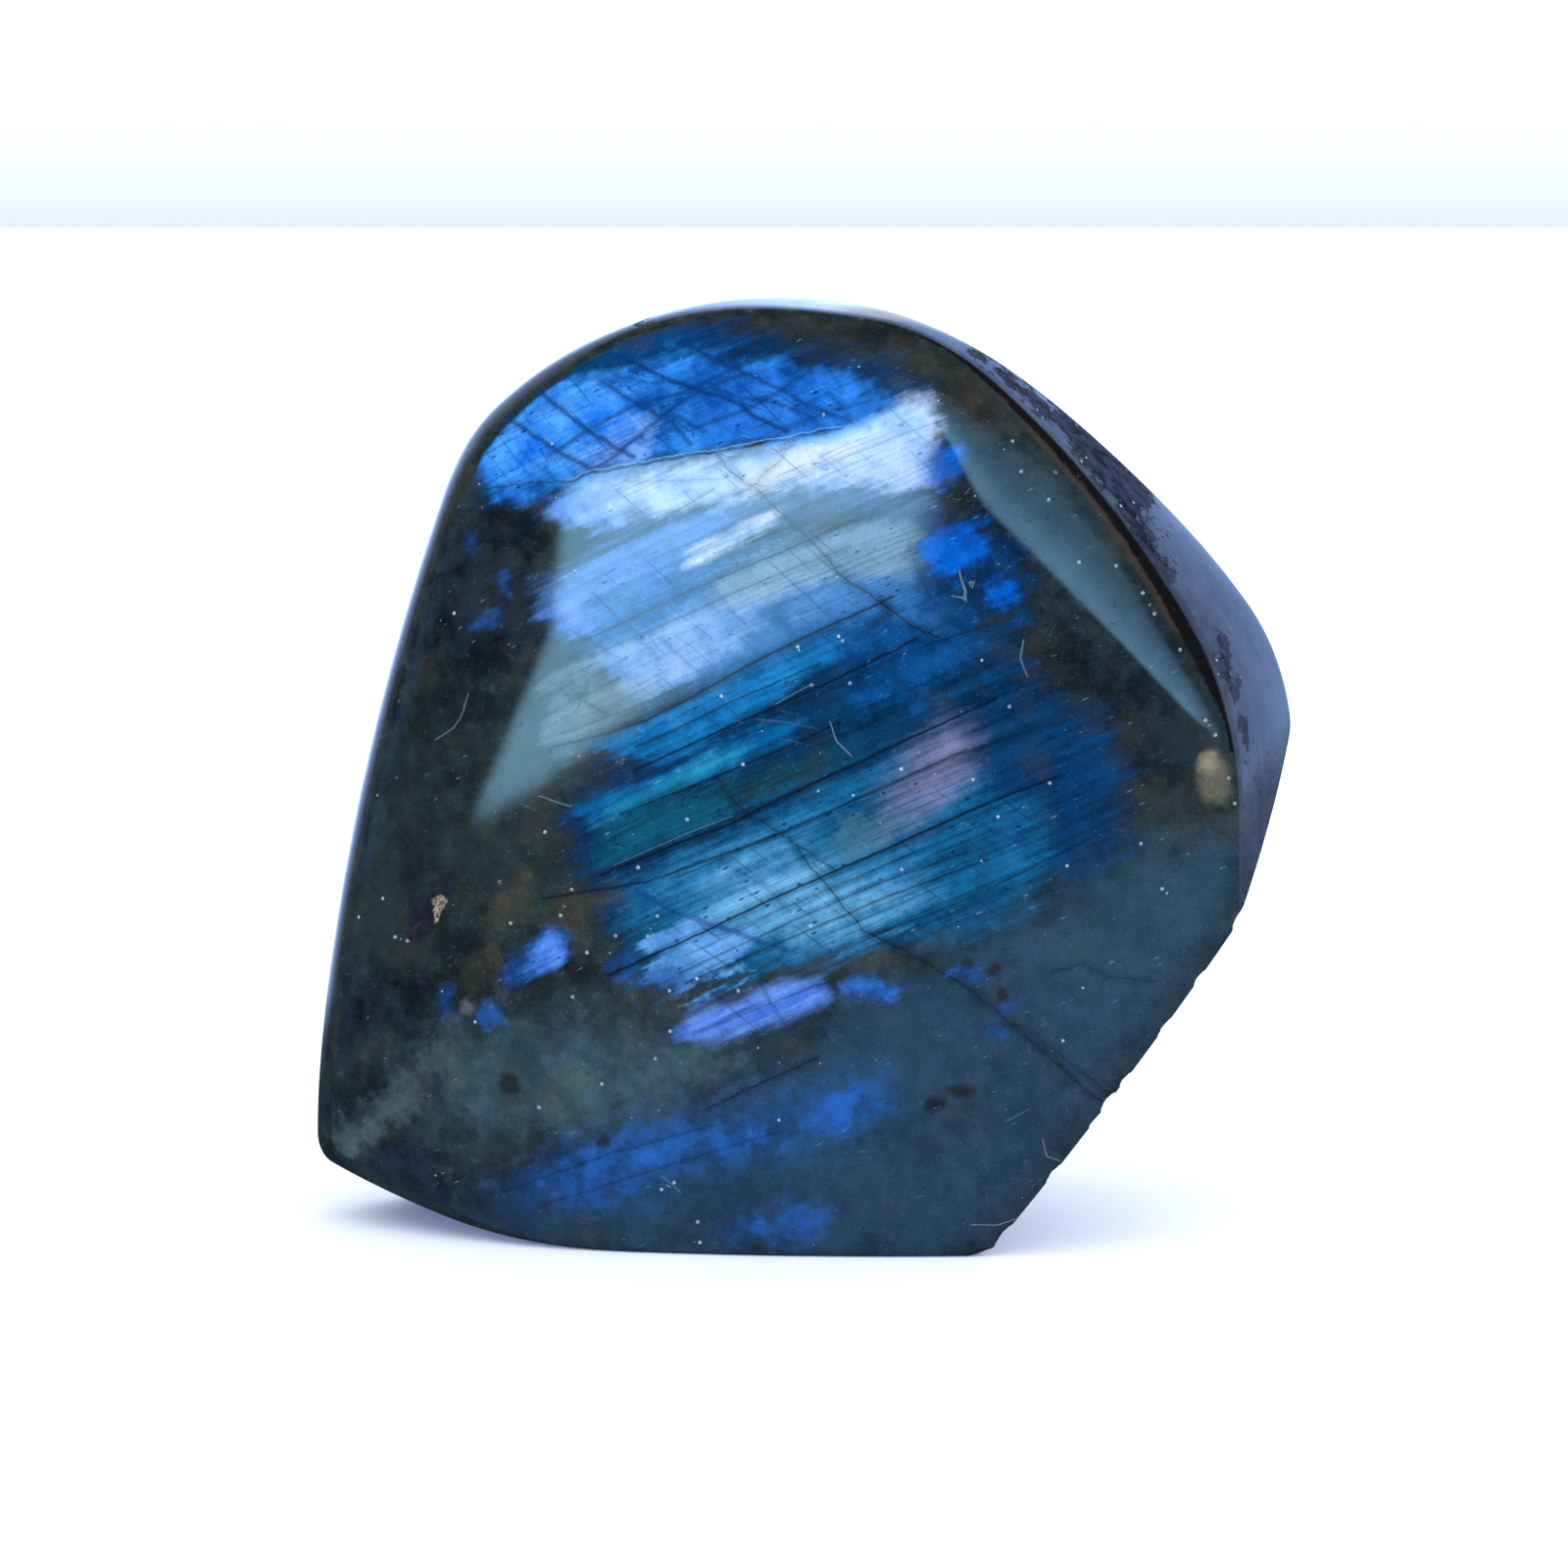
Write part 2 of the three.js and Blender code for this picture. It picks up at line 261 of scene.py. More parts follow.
def stone_rings():
    """Bearings and tilts of the grid, rings by columns, and the columns' step in each ring."""
    (edge_tilts, edge_bearings), (first, second, lap, share) = column_table()

    def edge_bearing(edge, tilt):
        edge = edge.astype(int)
        way = (tilt - edge_tilts[0, edge]) / (edge_tilts[-1, edge] - edge_tilts[0, edge])
        way = np.clip(way, 0, 1) * EDGE_SAMPLES
        low = np.minimum(way.astype(int), EDGE_SAMPLES - 1)
        start, end = edge_bearings[low, edge], edge_bearings[low + 1, edge]
        return start + (end - start) * (way - low)

    def path(tilt):
        return edge_bearing(first, tilt) * (1 - share) + (edge_bearing(second, tilt) + lap) * share

    def gathered(count):
        return 1 - (1 - np.arange(1, count + 1) / count) ** EDGE_GATHER

    front, back = crossings(path, COLUMNS)
    front_shares = gathered(FRONT_RINGS)
    side_shares = 0.5 - 0.5 * np.cos(math.pi * np.arange(1, SIDE_RINGS + 1) / SIDE_RINGS)
    back_shares = (1 - gathered(BACK_RINGS))[::-1][1:]
    spans = (
        (np.zeros(COLUMNS), front, front_shares),
        (front, back, side_shares),
        (back, np.full(COLUMNS, math.pi), back_shares),
    )
    tilts = []
    for start, end, shares in spans:
        samples = start + (end - start) * np.linspace(0, 1, PROFILE_SAMPLES + 1)[:, None]
        points = surface_points(path(samples), samples)
        lengths = np.linalg.norm(np.diff(points, axis=0), axis=-1).cumsum(0)
        lengths = np.vstack([np.zeros(COLUMNS), lengths])
        columns = [np.interp(shares * lengths[-1, c], lengths[:, c], samples[:, c]) for c in range(COLUMNS)]
        tilts.append(np.stack(columns, -1))
    tilts = np.vstack(tilts)

    def step(way):
        return 4 if way < QUARTER_COLUMNS_BELOW else 2 if way < HALF_COLUMNS_BELOW else 1

    steps = [step(s) for s in front_shares] + [1] * SIDE_RINGS + [step(1 - s) for s in back_shares]
    return path(tilts), tilts, steps


# damage
REACHES_BEFORE_FRONT = (0.8, 0.85)


def picture_rays(px, py):
    """From the eye to picture points, as long as the way to the plane through the aim."""
    across = (np.asarray(px, float) - PICTURE / 2) / PIXELS_PER_MM
    up = (PICTURE / 2 - np.asarray(py, float)) / PIXELS_PER_MM
    return ahead * DISTANCE + across[..., None] * np.array([1.0, 0, 0]) + up[..., None] * upward


def at_depth(px, py, y):
    ray = picture_rays(px, py)
    return eye + ray * (y - eye[1]) / ray[1]


def front_points(px, py):
    """Where picture points meet the polished stone, from the front."""
    return met_points(eye, picture_rays(px, py), *REACHES_BEFORE_FRONT)


# picture point and depth y of each, then its radius and how deep it cuts, in mm
CHIPS = [
    (1266, 936, -12.0, 1.2, 0.45),
    (1226, 1002, -12.6, 0.9, 0.08),
    (1190, 1050, -12.9, 0.8, 0.1),
    (1150, 1104, -13.2, 0.7, 0.2),
    (1136, 1126, -13.2, 1.0, 0.22),
    (1120, 1146, -13.2, 0.7, 0.12),
    (1078, 1196, -13.2, 0.8, 0.12),
    (1028, 1256, -13.2, 1.2, 0.2),
    (1000, 1280, -13.3, 1.6, 0.3),
]
# picture point of each, then its radius and how deep it cuts, in mm
PITS = [(430, 938, 1.1, 0.38), (446, 920, 0.9, 0.26)]
OUT_OF_PITS = np.array([-0.3, -0.93, 0.1])


def chip_centres():
    rows = []
    for px, py, depth, radius, cut in CHIPS:
        away = at_depth(px, py, depth) - HEART
        away = away / np.linalg.norm(away)
        reach = surface_points(math.atan2(away[2], away[0]), math.acos(-away[1]))
        rows.append((reach + away * (radius - cut), radius))
    return rows


chips = chip_centres()
for px, py, radius, cut in PITS:
    chips.append((front_points(px, py) + OUT_OF_PITS * (radius - cut), radius))


def worn(points):
    """Points moved in along their rays to the chips that they lie in."""
    rays = points - HEART
    reach = np.linalg.norm(rays, axis=-1)
    rays = rays / reach[..., None]
    kept = reach.copy()
    for centre, radius in chips:
        along = rays @ (centre - HEART)
        half = along**2 - ((centre - HEART) @ (centre - HEART) - radius**2)
        entry = along - np.sqrt(np.maximum(half, 0))
        kept = np.where((half > 0) & (entry > 0), np.minimum(kept, entry), kept)
    return HEART + rays * kept[..., None]


# mesh
FLAT_WITHIN = 1e-5
GRADIENT_REACH = 0.05
# how far a normal points forward or back where the markings of that side begin, and the ramp from there
FRONT_FROM, FRONT_RAMP = 0.42, 0.25
BACK_FROM, BACK_RAMP = 0.5, 0.35

grid_bearings, grid_tilts, ring_steps = stone_rings()
grid = surface_points(grid_bearings, grid_tilts)
ring_count, column_count = grid.shape[:2]
index = np.full((ring_count, column_count), -1)
vertices = [surface_points(0.0, 0.0).reshape(1, 3)]
start = 1
for ring, step in enumerate(ring_steps):
    chosen = np.arange(0, column_count, step)
    index[ring, chosen] = start + np.arange(len(chosen))
    vertices.append(grid[ring, chosen])
    start += len(chosen)
vertices.append(surface_points(0.0, math.pi).reshape(1, 3))
vertices = np.vstack(vertices)
vertices[np.abs(vertices[:, 2]) < FLAT_WITHIN, 2] = 0.0

faces = []
first_ring = index[0, :: ring_steps[0]]
for a, b in zip(first_ring, np.roll(first_ring, -1)):
    faces.append((0, a, b))
for ring in range(ring_count - 1):
    inner, outer = index[ring, :: ring_steps[ring]], index[ring + 1, :: ring_steps[ring + 1]]
    if len(inner) == len(outer):
        for a, b, c, d in zip(inner, np.roll(inner, -1), outer, np.roll(outer, -1)):
            faces.append((a, c, d, b))
    elif len(inner) < len(outer):
        for a, b, c, e, d in zip(inner, np.roll(inner, -1), outer[::2], outer[1::2], np.roll(outer[::2], -1)):
            faces += [(a, c, e), (a, e, b), (b, e, d)]
    else:
        for a, e, b, c, d in zip(inner[::2], inner[1::2], np.roll(inner[::2], -1), outer, np.roll(outer, -1)):
            faces += [(a, c, e), (e, c, d), (e, d, b)]
last_ring = index[-1, :: ring_steps[-1]]
last = len(vertices) - 1
for a, b in zip(last_ring, np.roll(last_ring, -1)):
    faces.append((last, b, a))

low, high = vertices.min(0), vertices.max(0)
node_low, node_high = (np.array(corner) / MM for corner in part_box(NODE))
shift = (node_low + node_high) / 2 - (low + high) / 2
shift[2] = node_low[2] - low[2]


def normals_of(points):
    axes = GRADIENT_REACH * np.eye(3)
    changes = [polished_distance(points + axis) - polished_distance(points - axis) for axis in axes]
    gradient = np.stack(changes, -1)
    return gradient / np.linalg.norm(gradient, axis=-1, keepdims=True)


def in_picture(points):
    """Picture coordinates of points, as the camera of the photograph sees them."""
    offset = points - eye
    depth = offset @ ahead
    scale = PIXELS_PER_MM * DISTANCE / depth
    return PICTURE / 2 + scale * offset[..., 0], PICTURE / 2 - scale * (offset @ upward)


normals = normals_of(vertices)
seen_x, seen_y = in_picture(vertices)
seen = np.stack([seen_x, seen_y], -1)
front_share = np.clip((-normals[:, 1] - FRONT_FROM) / FRONT_RAMP, 0, 1)
back_share = np.clip((normals[:, 1] - BACK_FROM) / BACK_RAMP, 0, 1)


def inside_outline(points, outline):
    """Signed distance to a closed outline, in picture pixels, positive inside."""
    outline = np.array(outline, float)
    nearest = np.full(len(points), np.inf)
    crossed = np.zeros(len(points), int)
    for a, b in zip(outline, np.roll(outline, -1, 0)):
        along = b - a
        t = np.clip(((points - a) @ along) / (along @ along), 0, 1)
        nearest = np.minimum(nearest, np.linalg.norm(points - a - t[:, None] * along, axis=1))
        hits = (a[1] > points[:, 1]) != (b[1] > points[:, 1])
        with np.errstate(divide="ignore", invalid="ignore"):
            x = a[0] + (points[:, 1] - a[1]) * (b[0] - a[0]) / (b[1] - a[1])
        crossed += hits & (points[:, 0] < x)
    return np.where(crossed % 2 == 1, nearest, -nearest)


# markings
# Outlines and lines in picture pixels, as the front is seen. A zone is a name, half the width of its soft
# edge, how ragged the edge is, its strength, its dark and light tones, its pattern, and its outlines. Most
# zones are the stone's own colours; a few are painted reflections, a painted highlight and a painted glow.
ZONES = [
    ("left_green", 50, 30, 0.75, (28, 38, 38), (42, 56, 56), "cloud", [[
        (360, 760), (430, 680), (500, 720), (520, 850), (540, 900), (480, 960), (400, 1000), (345, 950),
    ]]),
    ("slate", 40, 14, 0.9, (36, 62, 80), (46, 76, 98), "cloud", [[
        (880, 1010), (960, 975), (1060, 925), (1120, 885), (1180, 862), (1262, 845), (1275, 930),
        (1180, 1070), (1040, 1250), (980, 1290), (560, 1290), (430, 1250), (520, 1215), (640, 1160),
        (760, 1090),
    ]]),
    ("slate_teal", 30, 10, 0.6, (42, 68, 82), (50, 80, 96), "cloud", [[
        (1080, 930), (1150, 880), (1230, 862), (1262, 880), (1250, 930), (1180, 990), (1100, 990),
        (1040, 960),
    ]]),
    ("green_bank", 44, 14, 0.8, (50, 74, 84), (72, 102, 116), "cloud", [[
        (420, 1075), (470, 1050), (560, 1040), (640, 1020), (700, 1075), (790, 1060), (740, 1110),
        (640, 1140), (560, 1165), (490, 1180), (440, 1150), (432, 1110),
    ]]),
    ("pale_band", 13, 7, 0.75, (70, 94, 100), (96, 122, 128), "cloud", [[
        (340, 1176), (352, 1150), (384, 1124), (412, 1104), (436, 1104), (420, 1136), (384, 1160),
        (356, 1186),
    ]]),
    ("pale_speckles", 8, 12, 0.7, (58, 76, 80), (80, 100, 98), "cloud", [
        [(418, 1070), (436, 1066), (462, 1084), (474, 1104), (450, 1102), (428, 1090)],
        [(446, 1090), (462, 1068), (486, 1064), (480, 1080), (462, 1098)],
        [(556, 1110), (580, 1090), (600, 1100), (580, 1130), (560, 1135)],
    ]),
    ("browns", 12, 12, 0.75, (42, 50, 46), (66, 72, 62), "cloud", [
        [(556, 930), (580, 905), (620, 898), (640, 910), (620, 930), (585, 948), (560, 946)],
        [(468, 1010), (478, 975), (500, 962), (514, 975), (500, 1005), (484, 1020)],
        [(578, 772), (620, 758), (662, 766), (658, 786), (630, 798), (585, 800), (564, 790)],
        [(505, 905), (540, 895), (545, 930), (520, 950), (505, 940)],
        [(700, 1000), (790, 980), (880, 962), (960, 965), (900, 985), (800, 1003), (720, 1020)],
        [(700, 804), (722, 800), (746, 812), (754, 834), (735, 842), (715, 825)],
        [(612, 898), (640, 880), (690, 866), (692, 880), (660, 896), (630, 902)],
    ]),
    ("brown_top", 10, 10, 0.75, (32, 34, 32), (60, 58, 50), "cloud", [[
        (640, 345), (700, 322), (800, 315), (880, 325), (925, 335), (965, 360), (1010, 405), (1035, 440),
        (1000, 450), (960, 410), (930, 396), (900, 385), (850, 355), (780, 338), (710, 338), (660, 352),
    ]]),
    ("under_strip", 16, 8, 0.7, (24, 36, 42), (34, 56, 72), "cloud", [[
        (930, 400), (990, 430), (1060, 470), (1110, 520), (1160, 600), (1200, 670), (1225, 720),
        (1180, 690), (1100, 610), (1050, 560), (1000, 505), (975, 455),
    ]]),
    # painted reflection: a soft glow along the left edge, where the bright surroundings show at the
    # silhouette, laid into the colour
    ("left_edge", 14, 4, 0.5, (38, 64, 84), (46, 76, 98), "cloud", [[
        (324, 1150), (322, 1060), (336, 960), (360, 860), (390, 740), (418, 640), (446, 540), (476, 470),
        (490, 480), (462, 556), (432, 660), (404, 760), (376, 876), (352, 970), (340, 1060), (338, 1140),
    ]]),
    ("black", 16, 16, 0.85, (12, 20, 26), (34, 46, 58), "cloud", [
        [(500, 505), (540, 525), (560, 560), (548, 640), (520, 680), (480, 690), (436, 660), (440, 590),
         (470, 520)],
        [(330, 980), (420, 990), (450, 1010), (440, 1050), (400, 1060), (330, 1070)],
        [(962, 490), (990, 470), (1000, 500), (1030, 545), (1060, 570), (1110, 620), (1070, 640),
         (1040, 590), (1010, 548), (975, 532), (940, 530), (956, 515)],
        [(1050, 640), (1110, 640), (1180, 700), (1240, 760), (1210, 800), (1160, 790), (1110, 740),
         (1060, 700)],
    ]),
    ("navy", 8, 6, 0.9, (16, 22, 36), (38, 50, 66), "cloud", [[
        (358, 1196), (380, 1176), (410, 1152), (436, 1150), (450, 1200), (462, 1244), (420, 1236),
        (384, 1216),
    ]]),
    ("dim", 28, 14, 0.85, (10, 38, 68), (16, 70, 120), "streak", [
        [(478, 470), (500, 420), (560, 376), (620, 346), (700, 326), (760, 333), (830, 346), (900, 368),
         (940, 392), (920, 420), (860, 440), (760, 462), (640, 484), (540, 512), (500, 500)],
        [(955, 655), (1010, 640), (1050, 680), (1060, 720), (1120, 745), (1150, 800), (1140, 860),
         (1095, 890), (1060, 880), (1010, 840), (985, 790), (960, 730), (940, 690)],
        [(578, 836), (592, 815), (640, 797), (652, 830), (644, 872), (610, 872), (588, 856)],
        [(905, 700), (930, 672), (985, 668), (990, 700), (950, 722), (915, 722)],
    ]),
    ("deep_blue", 22, 14, 0.9, (2, 36, 66), (6, 62, 108), "streak", [[
        (610, 770), (700, 735), (800, 680), (905, 625), (960, 605), (1010, 640), (1060, 690), (1100, 760),
        (1110, 830), (1090, 880), (1000, 930), (860, 965), (720, 1000), (660, 1000), (620, 940), (590, 890),
        (575, 840),
    ]]),
    ("dark_band", 18, 16, 0.9, (2, 34, 62), (6, 70, 112), "streak", [[
        (860, 700), (930, 668), (1000, 650), (1010, 690), (960, 712), (880, 748), (850, 760), (800, 775),
        (850, 740),
    ]]),
    ("bottom_dim", 34, 9, 0.8, (32, 62, 94), (36, 88, 146), "cloud", [[
        (500, 1212), (530, 1194), (600, 1166), (680, 1142), (760, 1120), (830, 1104), (900, 1100),
        (912, 1130), (860, 1162), (780, 1190), (700, 1214), (640, 1232), (560, 1232), (520, 1226),
    ]]),
    ("bottom_blue", 26, 10, 0.75, (26, 72, 130), (44, 112, 214), "cloud", [
        [(540, 1206), (570, 1182), (640, 1164), (700, 1152), (730, 1160), (660, 1190), (620, 1222),
         (560, 1224)],
        [(835, 1142), (850, 1120), (880, 1114), (888, 1128), (860, 1142)],
        [(700, 1176), (740, 1158), (786, 1150), (780, 1162), (730, 1178)],
        [(740, 1252), (790, 1236), (850, 1236), (820, 1256), (770, 1262)],
    ]),
    ("right_blue", 24, 12, 0.7, (2, 44, 80), (4, 62, 116), "streak", [[
        (1000, 800), (1060, 770), (1120, 770), (1140, 810), (1110, 850), (1070, 870), (1020, 850),
    ]]),
    ("upper_band", 10, 7, 0.95, (6, 88, 140), (20, 134, 200), "streak", [[
        (600, 760), (640, 742), (710, 702), (740, 680), (790, 648), (850, 622), (900, 612), (880, 646),
        (820, 690), (800, 716), (750, 742), (700, 765), (670, 778), (640, 770), (618, 768),
    ]]),
    ("upper_right", 14, 12, 0.8, (4, 52, 96), (8, 84, 154), "cell", [[
        (850, 642), (905, 616), (950, 606), (960, 640), (1000, 650), (990, 690), (930, 720), (880, 716),
    ]]),
    ("upper_band_glow", 8, 8, 0.7, (10, 104, 166), (36, 146, 214), "streak", [[
        (636, 745), (700, 716), (770, 690), (810, 672), (800, 696), (750, 722), (690, 750),
    ]]),
    ("middle_band", 10, 6, 0.9, (2, 66, 110), (6, 108, 172), "streak", [[
        (650, 800), (680, 785), (750, 752), (790, 736), (815, 736), (805, 758), (760, 782), (700, 806),
        (640, 826), (600, 842), (590, 826), (620, 810),
    ]]),
    ("cyan_streaks", 12, 9, 0.7, (8, 92, 128), (44, 158, 200), "streak", [[
        (606, 842), (640, 812), (690, 786), (740, 764), (766, 762), (750, 786), (700, 806), (660, 826),
        (628, 846),
    ]]),
    ("teal_shade", 14, 10, 0.85, (22, 42, 46), (10, 72, 92), "streak", [[
        (700, 812), (770, 785), (850, 755), (880, 770), (800, 812), (760, 830), (720, 842), (700, 830),
    ]]),
    ("teal_band", 18, 10, 0.85, (8, 58, 78), (14, 96, 124), "streak", [[
        (600, 866), (630, 835), (700, 806), (730, 812), (748, 832), (700, 856), (650, 880), (618, 892),
    ]]),
    ("lower_flash", 22, 12, 0.95, (6, 64, 98), (22, 112, 162), "streak", [[
        (632, 905), (700, 866), (760, 842), (830, 806), (900, 782), (960, 770), (1000, 800), (1040, 820),
        (1070, 846), (1070, 880), (1050, 910), (1010, 936), (950, 956), (890, 962), (850, 972), (800, 986),
        (740, 1002), (700, 1012), (668, 1010), (650, 985), (640, 960), (636, 930),
    ]]),
    ("lower_cyan", 26, 12, 0.8, (14, 96, 140), (66, 152, 204), "streak", [[
        (672, 925), (700, 885), (760, 862), (830, 846), (890, 858), (950, 890), (956, 912), (925, 936),
        (870, 952), (800, 968), (740, 980), (690, 978),
    ]]),
    ("lower_glow", 28, 12, 0.8, (70, 146, 190), (128, 198, 240), "streak", [[
        (725, 918), (745, 895), (790, 880), (826, 880), (850, 900), (900, 905), (922, 916), (900, 936),
        (860, 950), (820, 954), (780, 946), (735, 946),
    ]]),
    ("lower_violet", 8, 12, 0.8, (56, 130, 196), (124, 186, 250), "cell", [[
        (660, 960), (690, 936), (730, 940), (765, 955), (760, 985), (725, 1004), (690, 1012), (668, 1000),
    ]]),
    ("middle_flash", 16, 8, 0.95, (8, 82, 146), (60, 126, 194), "cell", [[
        (553, 625), (570, 606), (640, 572), (700, 556), (760, 560), (850, 545), (930, 530), (936, 560),
        (940, 598), (980, 612), (960, 640), (900, 625), (850, 648), (790, 668), (740, 692), (690, 712),
        (650, 722), (640, 700), (615, 680), (600, 660), (570, 648),
    ]]),
    ("middle_pale", 18, 8, 0.85, (84, 134, 200), (150, 180, 232), "cell", [[
        (612, 672), (650, 655), (700, 632), (760, 600), (820, 580), (846, 582), (820, 600), (780, 622),
        (740, 660), (700, 696), (655, 705), (622, 690),
    ]]),
    ("left_blues", 8, 5, 0.9, (50, 100, 200), (116, 150, 232), "cell", [[
        (556, 628), (585, 608), (612, 622), (604, 650), (582, 646),
    ]]),
    # painted reflection: from here down to the warm zone, the pale tones are the window's reflection laid
    # into the colour over the flash
    ("veil_grey", 16, 8, 0.75, (48, 78, 118), (94, 128, 180), "streak", [[
        (546, 598), (600, 560), (680, 520), (760, 496), (850, 480), (950, 500), (958, 520), (935, 530),
        (860, 530), (760, 545), (700, 562), (640, 580), (590, 600), (556, 622),
    ]]),
    ("veil_blue", 14, 8, 0.8, (66, 112, 184), (100, 150, 226), "streak", [[
        (600, 575), (640, 545), (690, 528), (740, 522), (748, 540), (720, 556), (690, 578), (650, 600),
        (600, 620), (572, 610),
    ]]),
    ("veil_green", 16, 8, 0.8, (100, 132, 144), (132, 160, 178), "streak", [[
        (720, 588), (780, 560), (840, 542), (900, 530), (948, 536), (954, 574), (920, 588), (860, 586),
        (800, 612), (750, 620),
    ]]),
    ("veil_end", 10, 8, 0.85, (70, 124, 214), (112, 164, 240), "cell", [[
        (560, 512), (586, 492), (612, 486), (640, 500), (640, 536), (606, 544), (578, 532),
    ]]),
    ("veil_white", 12, 6, 0.95, (120, 150, 214), (186, 206, 236), "cell", [[
        (596, 508), (606, 492), (660, 478), (760, 462), (850, 446), (930, 412), (950, 405), (956, 445),
        (954, 492), (930, 500), (880, 492), (800, 500), (740, 510), (690, 520), (650, 528), (616, 530),
        (600, 524),
    ]]),
    ("veil_right", 10, 8, 0.8, (130, 150, 206), (180, 192, 226), "cell", [[
        (838, 470), (900, 445), (950, 430), (955, 470), (950, 496), (900, 492), (850, 490),
    ]]),
    ("veil_warm", 10, 8, 0.8, (176, 176, 176), (214, 208, 204), "cloud", [[
        (745, 492), (770, 470), (820, 458), (870, 455), (850, 475), (800, 492), (765, 505),
    ]]),
    ("flash_edge", 8, 4, 0.9, (0, 44, 84), (4, 66, 124), "streak", [[
        (474, 470), (484, 438), (518, 402), (560, 380), (600, 362), (650, 346), (700, 338), (760, 342),
        (810, 350), (800, 366), (740, 368), (690, 370), (650, 384), (600, 398), (560, 402), (520, 424),
        (496, 450), (484, 476),
    ]]),
    ("top_flash", 13, 7, 0.97, (8, 84, 168), (48, 150, 252), "cell", [[
        (478, 475), (484, 450), (498, 432), (518, 412), (545, 398), (585, 390), (625, 386), (655, 374),
        (690, 364), (740, 362), (790, 368), (830, 376), (865, 392), (900, 402), (908, 414), (880, 428),
        (845, 442), (800, 450), (740, 460), (690, 466), (640, 476), (590, 492), (560, 500), (535, 515),
        (515, 508), (504, 496), (488, 488),
    ]]),
    ("top_violet", 16, 10, 0.7, (12, 84, 180), (46, 132, 240), "cell", [[
        (700, 420), (720, 395), (770, 378), (830, 380), (880, 395), (880, 418), (840, 436), (780, 446),
        (720, 450),
    ]]),
    ("top_glow", 14, 8, 0.9, (10, 118, 244), (92, 178, 255), "cell", [[
        (500, 455), (510, 436), (540, 415), (575, 402), (610, 396), (650, 412), (668, 440), (650, 462),
        (600, 472), (560, 484), (520, 486), (500, 474),
    ]]),
    ("top_pale", 15, 6, 0.7, (96, 150, 226), (158, 198, 248), "cell", [[
        (594, 470), (612, 446), (642, 430), (662, 424), (668, 436), (660, 462), (640, 472), (606, 480),
    ]]),
    ("right_halo", 16, 14, 0.8, (2, 34, 66), (6, 66, 124), "cell", [[
        (938, 528), (985, 526), (1030, 556), (1058, 590), (1048, 630), (985, 640), (945, 628), (936, 590),
    ]]),
    ("right_patches", 12, 8, 0.95, (0, 74, 166), (0, 110, 226), "cell", [
        [(944, 494), (945, 468), (956, 456), (976, 458), (980, 470), (970, 488), (958, 498)],
        [(943, 552), (956, 538), (975, 540), (1002, 548), (1008, 562), (992, 578), (972, 590), (950, 580)],
        [(1000, 608), (1008, 596), (1028, 592), (1036, 606), (1022, 618)],
    ]),
    ("small_blues", 8, 6, 0.75, (14, 48, 92), (36, 100, 180), "cell", [
        [(618, 990), (624, 972), (644, 968), (652, 984), (640, 998)],
        [(656, 1000), (676, 984), (700, 992), (702, 1006), (682, 1012)],
        [(475, 556), (476, 545), (484, 544), (486, 556), (480, 563)],
        [(504, 592), (512, 586), (524, 594), (520, 604), (510, 602)],
        [(480, 634), (490, 628), (504, 622), (508, 632), (496, 640), (484, 640)],
        [(484, 1036), (496, 1018), (510, 1022), (512, 1040), (498, 1052)],
        [(447, 1024), (451, 1010), (461, 1009), (464, 1026), (456, 1034)],
        [(1014, 1034), (1022, 1024), (1040, 1026), (1036, 1038), (1022, 1040)],
        [(1004, 1050), (1012, 1044), (1028, 1050), (1022, 1056)],
        [(968, 996), (978, 984), (1002, 988), (996, 1000), (980, 1002)],
    ]),
    ("left_spark", 9, 6, 0.95, (16, 58, 110), (40, 106, 196), "cell", [[
        (506, 1006), (518, 985), (545, 964), (562, 948), (582, 954), (578, 980), (560, 993), (530, 1006),
    ]]),
    ("left_spark_core", 8, 4, 0.85, (64, 124, 220), (112, 162, 255), "cell", [[
        (532, 992), (545, 972), (562, 958), (578, 960), (574, 982), (556, 992),
    ]]),
    ("streak", 11, 4, 0.95, (70, 118, 220), (124, 176, 255), "streak", [[
        (690, 1057), (704, 1038), (726, 1026), (750, 1024), (776, 1010), (808, 1001), (836, 1002),
        (850, 1012), (842, 1024), (806, 1038), (764, 1052), (722, 1064),
    ]]),
    ("streak_end", 8, 5, 0.95, (20, 80, 150), (62, 130, 226), "cell", [[
        (850, 1010), (868, 996), (892, 998), (914, 1010), (908, 1022), (884, 1016), (864, 1018),
    ]]),
    ("olive_patch", 12, 10, 0.6, (56, 92, 96), (66, 116, 130), "cloud", [[
        (838, 862), (860, 835), (905, 828), (925, 842), (905, 866), (865, 880),
    ]]),
    ("rose", 28, 10, 0.75, (80, 96, 126), (110, 128, 168), "streak", [[
        (898, 850), (905, 815), (930, 775), (965, 738), (992, 745), (990, 780), (965, 812), (930, 842),
    ]]),
    ("rose_core", 24, 10, 0.7, (112, 114, 142), (138, 136, 170), "streak", [[
        (926, 804), (942, 776), (966, 752), (982, 756), (976, 784), (952, 808),
    ]]),
    ("rust", 12, 10, 0.5, (44, 42, 38), (74, 66, 54), "cloud", [
        [(466, 1016), (472, 992), (484, 972), (500, 960), (512, 972), (508, 1000), (520, 1020), (500, 1014),
         (480, 1024)],
        [(500, 950), (506, 915), (520, 890), (536, 892), (530, 925), (516, 950)],
        [(566, 930), (590, 914), (632, 902), (636, 918), (600, 934), (592, 962), (604, 990), (590, 986),
         (576, 950)],
    ]),
    ("yellow_halo", 14, 5, 0.5, (42, 50, 54), (62, 68, 64), "cloud", [[
        (1180, 830), (1215, 800), (1235, 760), (1258, 780), (1258, 835), (1210, 850),
    ]]),
    ("yellow_spot", 7, 2, 0.9, (76, 80, 68), (110, 108, 90), "cloud", [[
